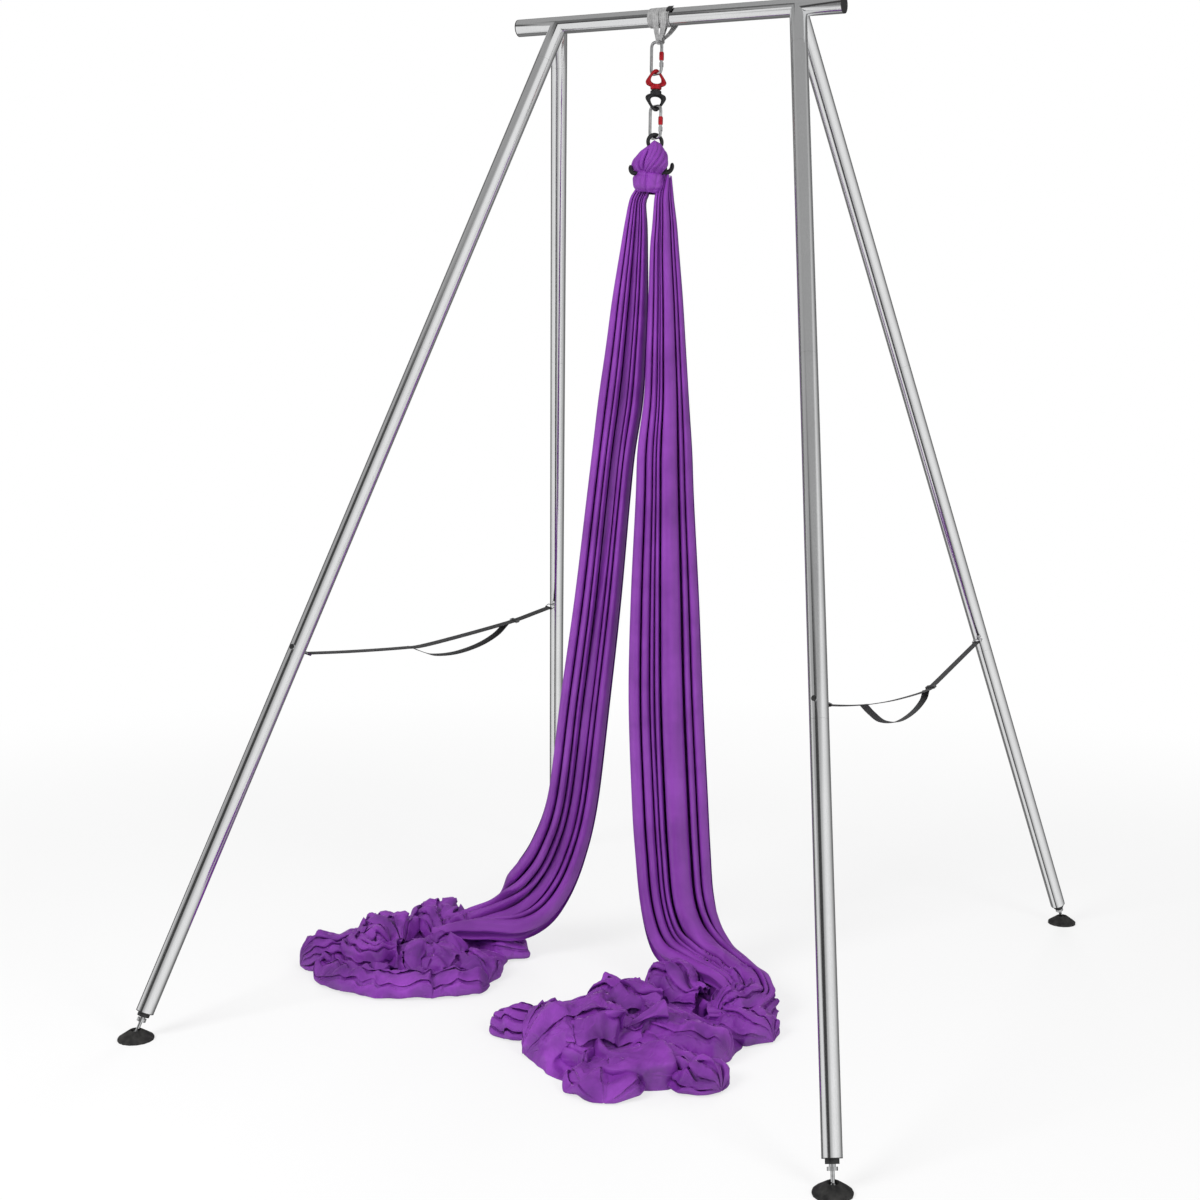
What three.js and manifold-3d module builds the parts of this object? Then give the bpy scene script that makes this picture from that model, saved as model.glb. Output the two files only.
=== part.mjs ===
// Aerial rig: a tubular A-frame stand with a crossbar, levelling feet, stabilising straps,
// a webbing sling, a swivel chain and a length of aerial silk. Millimetres, +Z up, floor at z = 0.
import * as THREE from "three";
import { mergeVertices } from "three/addons/utils/BufferGeometryUtils.js";
import Module from "manifold-3d";

const wasm = await Module();
wasm.setup();

// Clearances shared by all pieces
const seatGap = 0.3;
const cutOverrun = 1;

// Stand: where the crossbar is and how far the legs spread
const stand = { barAxisHeight: 2920, barLength: 1060, legTopX: 389, footX: 1042, footY: 1172 };
// Every tube of the stand is drawn from the same stock
const tube = { radius: 25, wall: 2, sides: 16, barSides: 20, taper: 4 };
// Lengths along a leg, counted from the crossbar's axis
const legLengths = { stub: 121, upper: 965, middle: 1000 };
const spigot = { stubLength: 40, legLength: 90 };
const endCap = { thickness: 3, plugLength: 25 };
const lockPin = {
  radius: 4, aboveSeam: 50, headRadius: 8, headLength: 4, ringWire: 1.5, ringRound: 2.25,
  ringWidth: 30, ringLength: 26, ringSides: 6,
};

// Levelling foot
const foot = {
  standoff: 83.5, nutRadius: 17, nutHeight: 14, plugDepth: 30, studProud: 9,
  boreClearance: 0.3, socketClearance: 0.9,
  studRadius: 8, neckRadius: 5, collarRadius: 13, collarHeight: 9, collarDrop: 6,
  ballRadius: 10, ballHeight: 17, padRadius: 49, rimHeight: 6, rimRound: 3, padHeight: 28,
  topRadius: 18, mouthRadius: 14, lipRise: 3, sides: 16, studSides: 10, ballSteps: 4, socketSteps: 3,
};

// Straps that hold each pair of legs together
const strap = {
  thickness: 2, sewnGap: 1, roomWidth: 48, buckleWire: 2, buckleLength: 22, buckleSlack: 1.2, buckleRoom: 1.8,
  windowShare: 0.25, mainSteps: 18, slackSteps: 14, halvings: 24,
};

// Sling round the crossbar
const sling = {
  x: -58, drop: 63, wrapWidth: 96, wrapThickness: 3,
  strands: 3, strandWidth: 24, footWidth: 11, thickness: 2.5,
  ribDepth: 0.8, ribShare: 0.25, spreadShare: 1.25,
};
// Where a strand runs: shares of the tube's radius at the bar, and of the room round the carabiner below it
const strandShares = {
  shoulder: 0.4, flank: 0.9, flankReach: 0.8, meetReach: 1.4, meetRise: 3, curlReach: 0.6, curlRise: 0.25,
};

// Hardware chain, from the sling down
const carabiner = {
  height: 100, width: 56, rod: 9, cornerShare: 0.28, gateRadius: 4.4, sleeveRadius: 7, sleeveLength: 24,
  sleeveAboveHinge: 12, tongue: 3.6, slotDepth: 5.2, shaftLift: 1.3,
  hingePinRadius: 1.5, hingeShare: 0.72, noseShare: 0.25, sides: 8,
};
const chain = { upperTurn: -24, eyeTurn: 40, lowerTurn: -22, eightTurn: 43 };
const swivel = {
  height: 118, eyeWidth: 50, rod: 8, barrelRadius: 12.5, barrelHeight: 15, rootSink: 2,
  axleRadius: 5, headRadius: 8, headHeight: 4, parting: 2, turnGap: 0.6, sides: 8, steps: 20,
};
// An eye of the swivel: shares of its half width and of its depth, from its tip to its root
const eyeShares = [[0, 1], [0.42, 0.95], [0.72, 0.72], [0.95, 0.42], [0.98, 0.22], [0.72, 0.04], [0.36, 0]];
const eight = {
  rod: 10, smallOuter: 26.5, bigOuter: 42, height: 156, earReach: 66, earRise: 24, earDrop: 6,
  ringSteps: 20, roomSides: 5, sides: 7, neckShare: 0.6, neckSink: 2.5,
  earShare: 0.6, hookRise: 8, earSteps: 8,
};

// Silk: knot, two tails and the cloth that lies on the floor
const knot = { drop: 52, height: 143, coverClearance: 1.8, folds: 9, foldShare: 0.07, steps: 12, sides: 26 };
const silk = {
  tailRise: 6, folds: 8, foldShare: 0.2, depthShare: 0.72, sides: 26, steps: 16,
  floorGap: 0.5, pileSteps: 10, pileSides: 40,
};
// Waves of the cloth on the floor: counts from middle to rim, and their heights as shares of the pile's
const pileWaves = {
  rimShare: 0.02, crownPower: 4, turn: 9, fineTurn: 15, crest: 21,
  flatShare: 0.8, turnShare: 0.2, fineShare: 0.14, crestShare: 0.12,
};

// Colours and finishes
const finishes = {
  steel: { color: 0xc4c6c8, roughness: 0.28, metalness: 1 },
  chrome: { color: 0xd8dadc, roughness: 0.12, metalness: 1 },
  blackPlastic: { color: 0x151515, roughness: 0.5, metalness: 0 },
  rubber: { color: 0x111111, roughness: 0.75, metalness: 0 },
  blackWebbing: { color: 0x1b1b1d, roughness: 0.85, metalness: 0 },
  greyWebbing: { color: 0x9a9a9a, roughness: 0.85, metalness: 0 },
  redMetal: { color: 0xb3142c, roughness: 0.3, metalness: 0.7 },
  blackMetal: { color: 0x1a1a1c, roughness: 0.35, metalness: 0.7 },
  silk: { color: 0x6a1fa8, roughness: 0.55, metalness: 0 },
};

const rig = new THREE.Group();
const vec = (x, y, z) => new THREE.Vector3(x, y, z);
const radians = THREE.MathUtils.degToRad;
const axisX = vec(1, 0, 0);
const axisY = vec(0, 1, 0);
const axisZ = vec(0, 0, 1);

// A closed geometry as a solid for cuts and joins
function toSolid(geometry, matrix) {
  const bare = geometry.clone();
  bare.deleteAttribute("normal");
  bare.deleteAttribute("uv");
  if (matrix) bare.applyMatrix4(matrix);
  const merged = mergeVertices(bare);
  const vertProperties = new Float32Array(merged.attributes.position.array);
  const triVerts = new Uint32Array(merged.index.array);
  return new wasm.Manifold(new wasm.Mesh({ numProp: 3, vertProperties, triVerts }));
}

function toGeometry(solid) {
  const mesh = solid.getMesh();
  const geometry = new THREE.BufferGeometry();
  geometry.setAttribute("position", new THREE.BufferAttribute(mesh.vertProperties, 3));
  geometry.setIndex(new THREE.BufferAttribute(mesh.triVerts, 1));
  return geometry;
}

// The main body of a cut solid, without slivers that a cut left behind
function largestOf(solid) {
  const size = (part) => {
    const box = part.boundingBox();
    return (box.max[0] - box.min[0]) * (box.max[1] - box.min[1]) * (box.max[2] - box.min[2]);
  };
  return solid.decompose().sort((one, other) => size(other) - size(one))[0];
}

function addPiece(name, geometry, finish, matrix) {
  const material = new THREE.MeshStandardMaterial(finishes[finish]);
  const mesh = new THREE.Mesh(geometry, material);
  mesh.name = name;
  if (matrix) mesh.applyMatrix4(matrix);
  rig.add(mesh);
}

// A closed skin over rings of points that all have the same count
function loftRings(rings, loops = false) {
  const count = rings[0].length;
  const points = rings.flat();
  const index = [];
  const lastRing = loops ? rings.length : rings.length - 1;
  for (let ring = 0; ring < lastRing; ring += 1) {
    const here = ring * count;
    const next = ((ring + 1) % rings.length) * count;
    for (let side = 0; side < count; side += 1) {
      const along = (side + 1) % count;
      index.push(here + side, here + along, next + side);
      index.push(here + along, next + along, next + side);
    }
  }
  if (!loops) {
    const capEnd = (ring, flip) => {
      const centre = vec(0, 0, 0);
      ring.forEach((point) => centre.add(point));
      centre.divideScalar(count);
      points.push(centre);
      const hub = points.length - 1;
      const start = rings.indexOf(ring) * count;
      for (let side = 0; side < count; side += 1) {
        const along = (side + 1) % count;
        if (flip) index.push(hub, start + along, start + side);
        else index.push(hub, start + side, start + along);
      }
    };
    capEnd(rings[0], true);
    capEnd(rings[rings.length - 1], false);
  }
  const geometry = new THREE.BufferGeometry().setFromPoints(points);
  geometry.setIndex(index);
  return geometry;
}

// A round rod along points that lie in one plane, open with flat ends or closed into a loop
function rodAlong(points, radius, sides, loops, planeNormal) {
  const rings = points.map((point, step) => {
    const before = points[loops ? (step + points.length - 1) % points.length : Math.max(step - 1, 0)];
    const after = points[loops ? (step + 1) % points.length : Math.min(step + 1, points.length - 1)];
    const along = after.clone().sub(before).normalize();
    const across = along.clone().cross(planeNormal).normalize();
    return Array.from({ length: sides }, (unused, side) => {
      const angle = (side / sides) * Math.PI * 2;
      return point.clone()
        .addScaledVector(across, Math.cos(angle) * radius)
        .addScaledVector(planeNormal, Math.sin(angle) * radius);
    });
  });
  return facingOut(loftRings(rings, loops));
}

// Turns a closed geometry's faces outward when its volume comes out negative
function facingOut(geometry) {
  const place = geometry.attributes.position;
  const index = Array.from(geometry.index.array);
  const corner = [vec(0, 0, 0), vec(0, 0, 0), vec(0, 0, 0)];
  let volume = 0;
  for (let face = 0; face < index.length; face += 3) {
    corner.forEach((point, k) => point.fromBufferAttribute(place, index[face + k]));
    volume += corner[0].dot(corner[1].clone().cross(corner[2]));
  }
  if (volume < 0) {
    for (let face = 0; face < index.length; face += 3) {
      [index[face + 1], index[face + 2]] = [index[face + 2], index[face + 1]];
    }
    geometry.setIndex(index);
  }
  return geometry;
}

// A turned piece about its own Y axis; a profile off the axis closes on itself
function turned(profile, sides) {
  const points = profile.map(([radius, height]) => new THREE.Vector2(radius, height));
  if (points[0].x > 0) points.push(points[0].clone());
  return facingOut(mergedBare(new THREE.LatheGeometry(points, sides)));
}

function mergedBare(geometry) {
  geometry.deleteAttribute("normal");
  geometry.deleteAttribute("uv");
  return mergeVertices(geometry);
}

// Straight tube, solid or bored, between two heights on its own Y axis
function rodBetween(radius, low, high, sides) {
  return turned([[0, low], [radius, low], [radius, high], [0, high]], sides);
}

// One leg's frame: Y runs down the leg from the crossbar's axis, Z points at the partner leg
function legFrame(side, end) {
  const top = vec(side * stand.legTopX, 0, stand.barAxisHeight);
  const floorPoint = vec(side * stand.footX, end * stand.footY, 0);
  const down = floorPoint.clone().sub(top);
  const length = down.length();
  down.normalize();
  const inward = vec(0, -end, 0).addScaledVector(down, end * down.y).normalize();
  const across = down.clone().cross(inward);
  const matrix = new THREE.Matrix4().makeBasis(across, down, inward).setPosition(top);
  return { matrix, length, top, down, inward };
}

const legs = [
  { name: "front_left", side: -1, end: -1 },
  { name: "front_right", side: 1, end: -1 },
  { name: "back_right", side: 1, end: 1 },
  { name: "back_left", side: -1, end: 1 },
].map((leg) => ({ ...leg, ...legFrame(leg.side, leg.end) }));

const seams = {
  first: legLengths.stub,
  second: legLengths.stub + legLengths.upper,
  third: legLengths.stub + legLengths.upper + legLengths.middle,
  bottom: legs[0].length - foot.standoff,
};
const boreRadius = tube.radius - tube.wall;
const spigotRadius = boreRadius - seatGap;
const pinStation = seams.third - lockPin.aboveSeam;

// Crossbar with its four welded stubs
function makeCrossbar() {
  const half = stand.barLength / 2 - endCap.thickness;
  const alongX = new THREE.Matrix4().makeRotationZ(-Math.PI / 2).setPosition(0, 0, stand.barAxisHeight);
  let body = toSolid(rodBetween(tube.radius, -half, half, tube.barSides), alongX);
  for (const leg of legs) {
    const stub = rodBetween(tube.radius, 0, legLengths.stub - seatGap / 2, tube.sides);
    body = body.add(toSolid(stub, leg.matrix));
  }
  const barBore = rodBetween(boreRadius, -half - cutOverrun, half + cutOverrun, tube.barSides);
  body = body.subtract(toSolid(barBore, alongX));
  for (const leg of legs) {
    const boreStart = legLengths.stub - spigot.stubLength - seatGap;
    const bore = rodBetween(boreRadius, boreStart, legLengths.stub + cutOverrun, tube.sides);
    body = body.subtract(toSolid(bore, leg.matrix));
  }
  addPiece("crossbar", toGeometry(body), "steel");
}

// Plastic plugs that close the crossbar's ends
function makeEndCap(name, side) {
  const plugRadius = boreRadius - seatGap;
  const profile = [
    [0, 0], [tube.radius, 0], [tube.radius, -endCap.thickness + seatGap],
    [plugRadius, -endCap.thickness + seatGap], [plugRadius, -endCap.plugLength], [0, -endCap.plugLength],
  ];
  const matrix = new THREE.Matrix4().makeRotationZ((-side * Math.PI) / 2);
  matrix.setPosition((side * stand.barLength) / 2, 0, stand.barAxisHeight);
  addPiece(name, turned(profile, tube.barSides), "blackPlastic", matrix);
}

// A leg tube: plain bore below, reduced spigot above that slides into the tube before it
function legTube(start, end, spigotLength, pinHoles) {
  const profile = [
    [spigotRadius, start - spigotLength], [spigotRadius, start + seatGap / 2],
    [tube.radius, start + seatGap / 2], [tube.radius, end - seatGap / 2],
    [boreRadius, end - seatGap / 2], [boreRadius, start + tube.taper * 2],
    [spigotRadius - tube.wall, start + tube.taper], [spigotRadius - tube.wall, start - spigotLength],
  ];
  const geometry = turned(profile, tube.sides);
  if (!pinHoles) return geometry;
  const along = new THREE.Matrix4().makeRotationX(Math.PI / 2).setPosition(0, pinStation, 0);
  const reach = tube.radius + cutOverrun;
  const drill = rodBetween(lockPin.radius + seatGap, -reach, reach, foot.studSides);
  return toGeometry(toSolid(geometry).subtract(toSolid(drill, along)));
}

function makeLegTubes(leg) {
  const upper = legTube(seams.first, seams.second, spigot.stubLength, false);
  const middle = legTube(seams.second, seams.third, spigot.legLength, true);
  const lower = legTube(seams.third, seams.bottom, spigot.legLength, true);
  addPiece(`leg_${leg.name}_upper_tube`, upper, "steel", leg.matrix);
  addPiece(`leg_${leg.name}_middle_tube`, middle, "steel", leg.matrix);
  addPiece(`leg_${leg.name}_lower_tube`, lower, "steel", leg.matrix);
}

// Lock pin through the socket, with its head outside and a flat wire ring for the strap inside
function makeLockPin(leg) {
  const shaftStart = -tube.radius - lockPin.headLength - seatGap;
  const ringNear = tube.radius + lockPin.headLength;
  const shaft = rodBetween(lockPin.radius, shaftStart, ringNear, foot.studSides);
  const head = rodBetween(lockPin.headRadius, shaftStart, -tube.radius - seatGap, foot.studSides);
  const halfWidth = lockPin.ringWidth / 2;
  const ringFar = ringNear + lockPin.ringLength;
  const round = lockPin.ringRound;
  const outline = [
    [-round, ringNear], [round, ringNear], [halfWidth, ringNear + round * 2], [halfWidth, ringFar - round],
    [halfWidth - round, ringFar], [round - halfWidth, ringFar], [-halfWidth, ringFar - round],
    [-halfWidth, ringNear + round * 2],
  ];
  const wire = outline.map(([x, y]) => vec(x, y, 0));
  const ring = rodAlong(wire, lockPin.ringWire, lockPin.ringSides, true, axisZ);
  const pin = toSolid(shaft).add(toSolid(head)).add(toSolid(ring));
  const along = new THREE.Matrix4().makeRotationX(Math.PI / 2).setPosition(0, pinStation, 0);
  const matrix = leg.matrix.clone().multiply(along);
  addPiece(`lock_pin_${leg.name}`, toGeometry(pin), "chrome", matrix);
}

// Levelling foot: nut in the tube's end, threaded stud with its ball, rubber pad
const ballStation = (leg) => leg.length * (1 - foot.ballHeight / stand.barAxisHeight);

function makeFootNut(leg) {
  const low = seams.bottom - foot.plugDepth;
  const bore = foot.studRadius + foot.boreClearance;
  const profile = [
    [bore, low], [boreRadius - seatGap, low], [boreRadius - seatGap, seams.bottom],
    [tube.radius, seams.bottom], [tube.radius, seams.bottom + tube.wall],
    [foot.nutRadius, seams.bottom + tube.wall], [foot.nutRadius, seams.bottom + foot.nutHeight],
    [bore, seams.bottom + foot.nutHeight],
  ];
  addPiece(`foot_nut_${leg.name}`, turned(profile, tube.sides), "blackPlastic", leg.matrix);
}

function makeFootStud(leg) {
  const ball = ballStation(leg);
  const collarLow = seams.bottom + foot.nutHeight + foot.collarDrop;
  const collarHigh = collarLow + foot.collarHeight;
  const studTop = seams.bottom - foot.plugDepth - foot.studProud;
  const profile = [
    [0, studTop], [foot.studRadius, studTop], [foot.studRadius, collarLow],
    [foot.collarRadius, collarLow], [foot.collarRadius, collarHigh], [foot.neckRadius, collarHigh],
  ];
  const neckAngle = Math.asin(foot.neckRadius / foot.ballRadius);
  for (let arc = 0; arc <= foot.ballSteps; arc += 1) {
    const angle = neckAngle + (arc / foot.ballSteps) * (Math.PI - neckAngle);
    const radius = arc === foot.ballSteps ? 0 : foot.ballRadius * Math.sin(angle);
    profile.push([radius, ball - foot.ballRadius * Math.cos(angle)]);
  }
  addPiece(`foot_stud_${leg.name}`, turned(profile, foot.studSides), "chrome", leg.matrix);
}

function makeFootPad(leg) {
  const socket = foot.ballRadius + foot.socketClearance;
  const profile = [
    [0, 0], [foot.padRadius, 0], [foot.padRadius, foot.rimHeight],
    [foot.padRadius - foot.rimRound, foot.rimHeight + foot.rimRound], [foot.topRadius, foot.padHeight],
    [foot.mouthRadius, foot.padHeight],
  ];
  const lipAngle = Math.acos(foot.lipRise / socket);
  for (let arc = 0; arc <= foot.socketSteps; arc += 1) {
    const angle = lipAngle + (arc / foot.socketSteps) * (Math.PI - lipAngle);
    const radius = arc === foot.socketSteps ? 0 : socket * Math.sin(angle);
    profile.push([radius, foot.ballHeight + socket * Math.cos(angle)]);
  }
  const centre = leg.top.clone().addScaledVector(leg.down, ballStation(leg));
  const matrix = new THREE.Matrix4().makeRotationX(Math.PI / 2).setPosition(centre.x, centre.y, 0);
  addPiece(`foot_pad_${leg.name}`, turned(profile, foot.sides), "rubber", matrix);
}

// Flat webbing along points between the legs of one side, with its width along wideways
function webbing(points, thickness, width, wideways) {
  const rings = points.map((point, step) => {
    const before = points[Math.max(step - 1, 0)];
    const after = points[Math.min(step + 1, points.length - 1)];
    const along = after.clone().sub(before).normalize();
    const across = wideways.clone().cross(along).normalize();
    return [[-1, -1], [1, -1], [1, 1], [-1, 1]].map(([flat, up]) => point.clone()
      .addScaledVector(wideways, (flat * width) / 2)
      .addScaledVector(across, (up * thickness) / 2));
  });
  return facingOut(loftRings(rings));
}

// Sewn eye of webbing round a ring's wire, which runs along wideways
function webbingEye(centre, inner, thickness, width, wideways) {
  const outer = inner + thickness;
  const profile = [[inner, -width / 2], [outer, -width / 2], [outer, width / 2], [inner, width / 2]];
  const turn = new THREE.Quaternion().setFromUnitVectors(axisY, wideways);
  const matrix = new THREE.Matrix4().makeRotationFromQuaternion(turn).setPosition(centre);
  return toSolid(turned(profile, foot.studSides), matrix);
}

// How each strap sags: shares of the way from the front pin to the back one, and drops in millimetres
const strapRuns = {
  left: {
    mainShares: [0.12, 0.25, 0.35, 0.42, 0.6, 0.79, 0.86, 0.94],
    mainDrops: [16, 31, 41, 46, 38, 26, 19, 8],
    slackShares: [0.37, 0.42, 0.47, 0.56, 0.66, 0.74, 0.79],
    slackDrops: [42, 66, 84, 92, 82, 58, 26],
    buckleShare: 0.83,
  },
  right: {
    mainShares: [0.1, 0.19, 0.25, 0.4, 0.6, 0.66, 0.8, 0.92],
    mainDrops: [22, 39, 49, 68, 83, 76, 45, 18],
    slackShares: [0.2, 0.25, 0.32, 0.42, 0.52, 0.59, 0.61],
    slackDrops: [40, 74, 112, 135, 130, 108, 82],
    buckleShare: 0.645,
  },
};

function ringCentre(leg, ringFar) {
  const pinAt = leg.top.clone().addScaledVector(leg.down, pinStation);
  return pinAt.addScaledVector(leg.inward, ringFar);
}

function makeStrap(sideName, side) {
  const front = legs.find((leg) => leg.side === side && leg.end < 0);
  const back = legs.find((leg) => leg.side === side && leg.end > 0);
  const ringFar = tube.radius + lockPin.headLength + lockPin.ringLength;
  const eyeAt = [ringCentre(front, ringFar), ringCentre(back, ringFar)];
  const inner = lockPin.ringWire + strap.sewnGap;
  const eyeOuter = inner + strap.thickness;
  const start = eyeAt[0].clone().add(vec(0, eyeOuter - strap.thickness / 2, 0));
  const finish = eyeAt[1].clone().add(vec(0, strap.thickness / 2 - eyeOuter, 0));
  const runs = strapRuns[sideName];
  const width = lockPin.ringWidth - lockPin.ringWire * 2 - strap.buckleWire * 2;
  const hang = (shares, drops) => shares.map(
    (share, step) => start.clone().lerp(finish, share).add(vec(0, 0, -drops[step])));
  const main = [start, ...hang(runs.mainShares, runs.mainDrops), finish];
  const smooth = (points, steps) => new THREE.CatmullRomCurve3(points, false, "centripetal").getPoints(steps);
  const wideways = front.down.clone().cross(front.inward).normalize();
  const web = toSolid(webbing(smooth(main, strap.mainSteps), strap.thickness, width, wideways))
    .add(webbingEye(eyeAt[0], inner, strap.thickness, width, wideways))
    .add(webbingEye(eyeAt[1], inner, strap.thickness, width, wideways));
  addPiece(`strap_${sideName}`, toGeometry(web), "blackWebbing");
  const slack = smooth(hang(runs.slackShares, runs.slackDrops), strap.slackSteps);
  const roomThickness = strap.thickness + seatGap * 2;
  const room = webbing(smooth(main, strap.mainSteps), roomThickness, strap.roomWidth, wideways);
  const slackSolid = toSolid(webbing(slack, strap.thickness, width, wideways)).subtract(toSolid(room));
  addPiece(`strap_slack_${sideName}`, toGeometry(largestOf(slackSolid)), "blackWebbing");
  makeBuckle(sideName, main, runs.buckleShare, width, wideways);
}

// Flat wire buckle that the strap runs through
function makeBuckle(sideName, main, share, width, wideways) {
  const curve = new THREE.CatmullRomCurve3(main, false, "centripetal");
  const wanted = THREE.MathUtils.lerp(main[0].y, main[main.length - 1].y, share);
  let low = 0;
  let high = 1;
  for (let step = 0; step < strap.halvings; step += 1) {
    const middle = (low + high) / 2;
    if (curve.getPoint(middle).y < wanted) low = middle;
    else high = middle;
  }
  const centre = curve.getPoint(low);
  const along = curve.getTangent(low).normalize();
  const across = wideways.clone().cross(along).normalize();
  const sideways = along.clone().cross(across).normalize();
  const openWidth = width + strap.buckleSlack;
  const openHeight = strap.thickness + strap.buckleRoom;
  const wall = strap.buckleWire * 2;
  const block = new THREE.BoxGeometry(openWidth + wall, strap.buckleLength, openHeight + wall);
  const hole = new THREE.BoxGeometry(openWidth, strap.buckleLength + cutOverrun * 2, openHeight);
  const step = strap.buckleLength * strap.windowShare;
  const window = new THREE.BoxGeometry(openWidth - wall * 2, step, openHeight + wall * 2);
  const shifted = (offset) => new THREE.Matrix4().makeTranslation(0, offset, 0);
  const body = toSolid(block).subtract(toSolid(hole))
    .subtract(toSolid(window, shifted(step)))
    .subtract(toSolid(window, shifted(-step)));
  const matrix = new THREE.Matrix4().makeBasis(sideways, along, across).setPosition(centre);
  addPiece(`strap_buckle_${sideName}`, toGeometry(body), "steel", matrix);
}

// Webbing sling: turns round the bar and strands that meet under the upper carabiner's top
const chainTop = stand.barAxisHeight - sling.drop;
const rodTop = chainTop - carabiner.rod;

function makeSling() {
  const inner = tube.radius + seatGap * 2;
  const outer = inner + sling.wrapThickness;
  const half = sling.wrapWidth / 2;
  const turn = sling.wrapWidth / (sling.strands + 1);
  const profile = [[inner, -half]];
  for (let along = -half; along < half - turn / 2; along += turn) {
    profile.push([outer - sling.ribDepth, along], [outer, along + turn * sling.ribShare]);
    profile.push([outer, along + turn * (1 - sling.ribShare)], [outer - sling.ribDepth, along + turn]);
  }
  profile.push([inner, half]);
  const bar = new THREE.Matrix4().makeRotationZ(-Math.PI / 2).setPosition(sling.x, 0, stand.barAxisHeight);
  let body = toSolid(turned(profile, tube.sides), bar);
  const strandCount = sling.strands;
  for (let strand = 0; strand < strandCount; strand += 1) {
    const spread = strand - (strandCount - 1) / 2;
    const topX = sling.x + spread * turn * sling.spreadShare;
    body = body.add(toSolid(slingStrand(topX, sling.x + spread * sling.thickness)));
  }
  const barRoom = rodBetween(inner, -half - turn, half + turn, tube.sides);
  const hardware = rodAlong(carabinerLine(), carabiner.rod / 2 + seatGap * 2, carabiner.sides, false, axisY);
  body = body.subtract(toSolid(barRoom, bar)).subtract(toSolid(hardware, hangAt(chainTop, chain.upperTurn)));
  addPiece("sling", toGeometry(largestOf(body)), "greyWebbing");
}

// One strand: down in front of the bar, under the carabiner and up behind
function slingStrand(topX, bottomX) {
  const bight = rodTop - seatGap - sling.thickness / 2;
  const around = carabiner.rod / 2 + seatGap + sling.thickness / 2;
  const climb = tube.radius + sling.wrapThickness / 2;
  const halfway = (sling.strandWidth + sling.footWidth) / 2;
  const shares = strandShares;
  const flankReach = tube.radius * shares.flankReach;
  const spots = [
    [topX, -climb, stand.barAxisHeight - tube.radius * shares.shoulder, sling.strandWidth],
    [topX, -flankReach, stand.barAxisHeight - tube.radius * shares.flank, sling.strandWidth],
    [(topX + bottomX) / 2, -around * shares.meetReach, bight + around * shares.meetRise, halfway],
    [bottomX, -around, bight + around, sling.footWidth],
    [bottomX, -around * shares.curlReach, bight + around * shares.curlRise, sling.footWidth],
    [bottomX, 0, bight, sling.footWidth],
  ];
  const path = [...spots, ...spots.slice(0, -1).reverse().map(([x, y, z, wide]) => [x, -y, z, wide])];
  const rings = path.map(([x, y, z, wide], step) => {
    const before = path[Math.max(step - 1, 0)];
    const after = path[Math.min(step + 1, path.length - 1)];
    const along = vec(0, after[1] - before[1], after[2] - before[2]).normalize();
    const across = axisX.clone().cross(along).normalize();
    return [[-1, -1], [1, -1], [1, 1], [-1, 1]].map(([flat, up]) => vec(x, y, z)
      .addScaledVector(axisX, (flat * wide) / 2)
      .addScaledVector(across, (up * sling.thickness) / 2));
  });
  return facingOut(loftRings(rings));
}

// Where a piece of the chain hangs: its top on the chain's line, turned about the vertical
function hangAt(top, degrees) {
  return new THREE.Matrix4().makeRotationZ(radians(degrees)).setPosition(sling.x, 0, top);
}

// Screw-lock carabiner, drawn in its own X-Z plane with its outer top at z = 0
const hingeZ = -carabiner.height * carabiner.hingeShare;
const noseZ = -carabiner.height * carabiner.noseShare;

function carabinerLine() {
  const halfRod = carabiner.rod / 2;
  const reach = carabiner.width / 2 - halfRod;
  const top = -halfRod;
  const bottom = halfRod - carabiner.height;
  const round = carabiner.width * carabiner.cornerShare;
  const spine = new THREE.CurvePath();
  const corner = (fromX, fromZ, viaX, viaZ, toX, toZ) => spine.add(
    new THREE.QuadraticBezierCurve3(vec(fromX, 0, fromZ), vec(viaX, 0, viaZ), vec(toX, 0, toZ)));
  const straight = (fromX, fromZ, toX, toZ) => spine.add(
    new THREE.LineCurve3(vec(fromX, 0, fromZ), vec(toX, 0, toZ)));
  straight(reach, noseZ, reach, top - round);
  corner(reach, top - round, reach, top, reach - round, top);
  straight(reach - round, top, round - reach, top);
  corner(round - reach, top, -reach, top, -reach, top - round);
  straight(-reach, top - round, -reach, bottom + round);
  corner(-reach, bottom + round, -reach, bottom, round - reach, bottom);
  straight(round - reach, bottom, reach - round, bottom);
  corner(reach - round, bottom, reach, bottom, reach, bottom + round);
  straight(reach, bottom + round, reach, hingeZ - halfRod);
  const points = [];
  const cornerSteps = 5;
  spine.curves.forEach((curve) => {
    const steps = curve instanceof THREE.LineCurve3 ? 1 : cornerSteps;
    curve.getPoints(steps).forEach((point) => {
      const last = points[points.length - 1];
      if (!last || last.distanceTo(point) > seatGap) points.push(point);
    });
  });
  return points;
}

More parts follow.
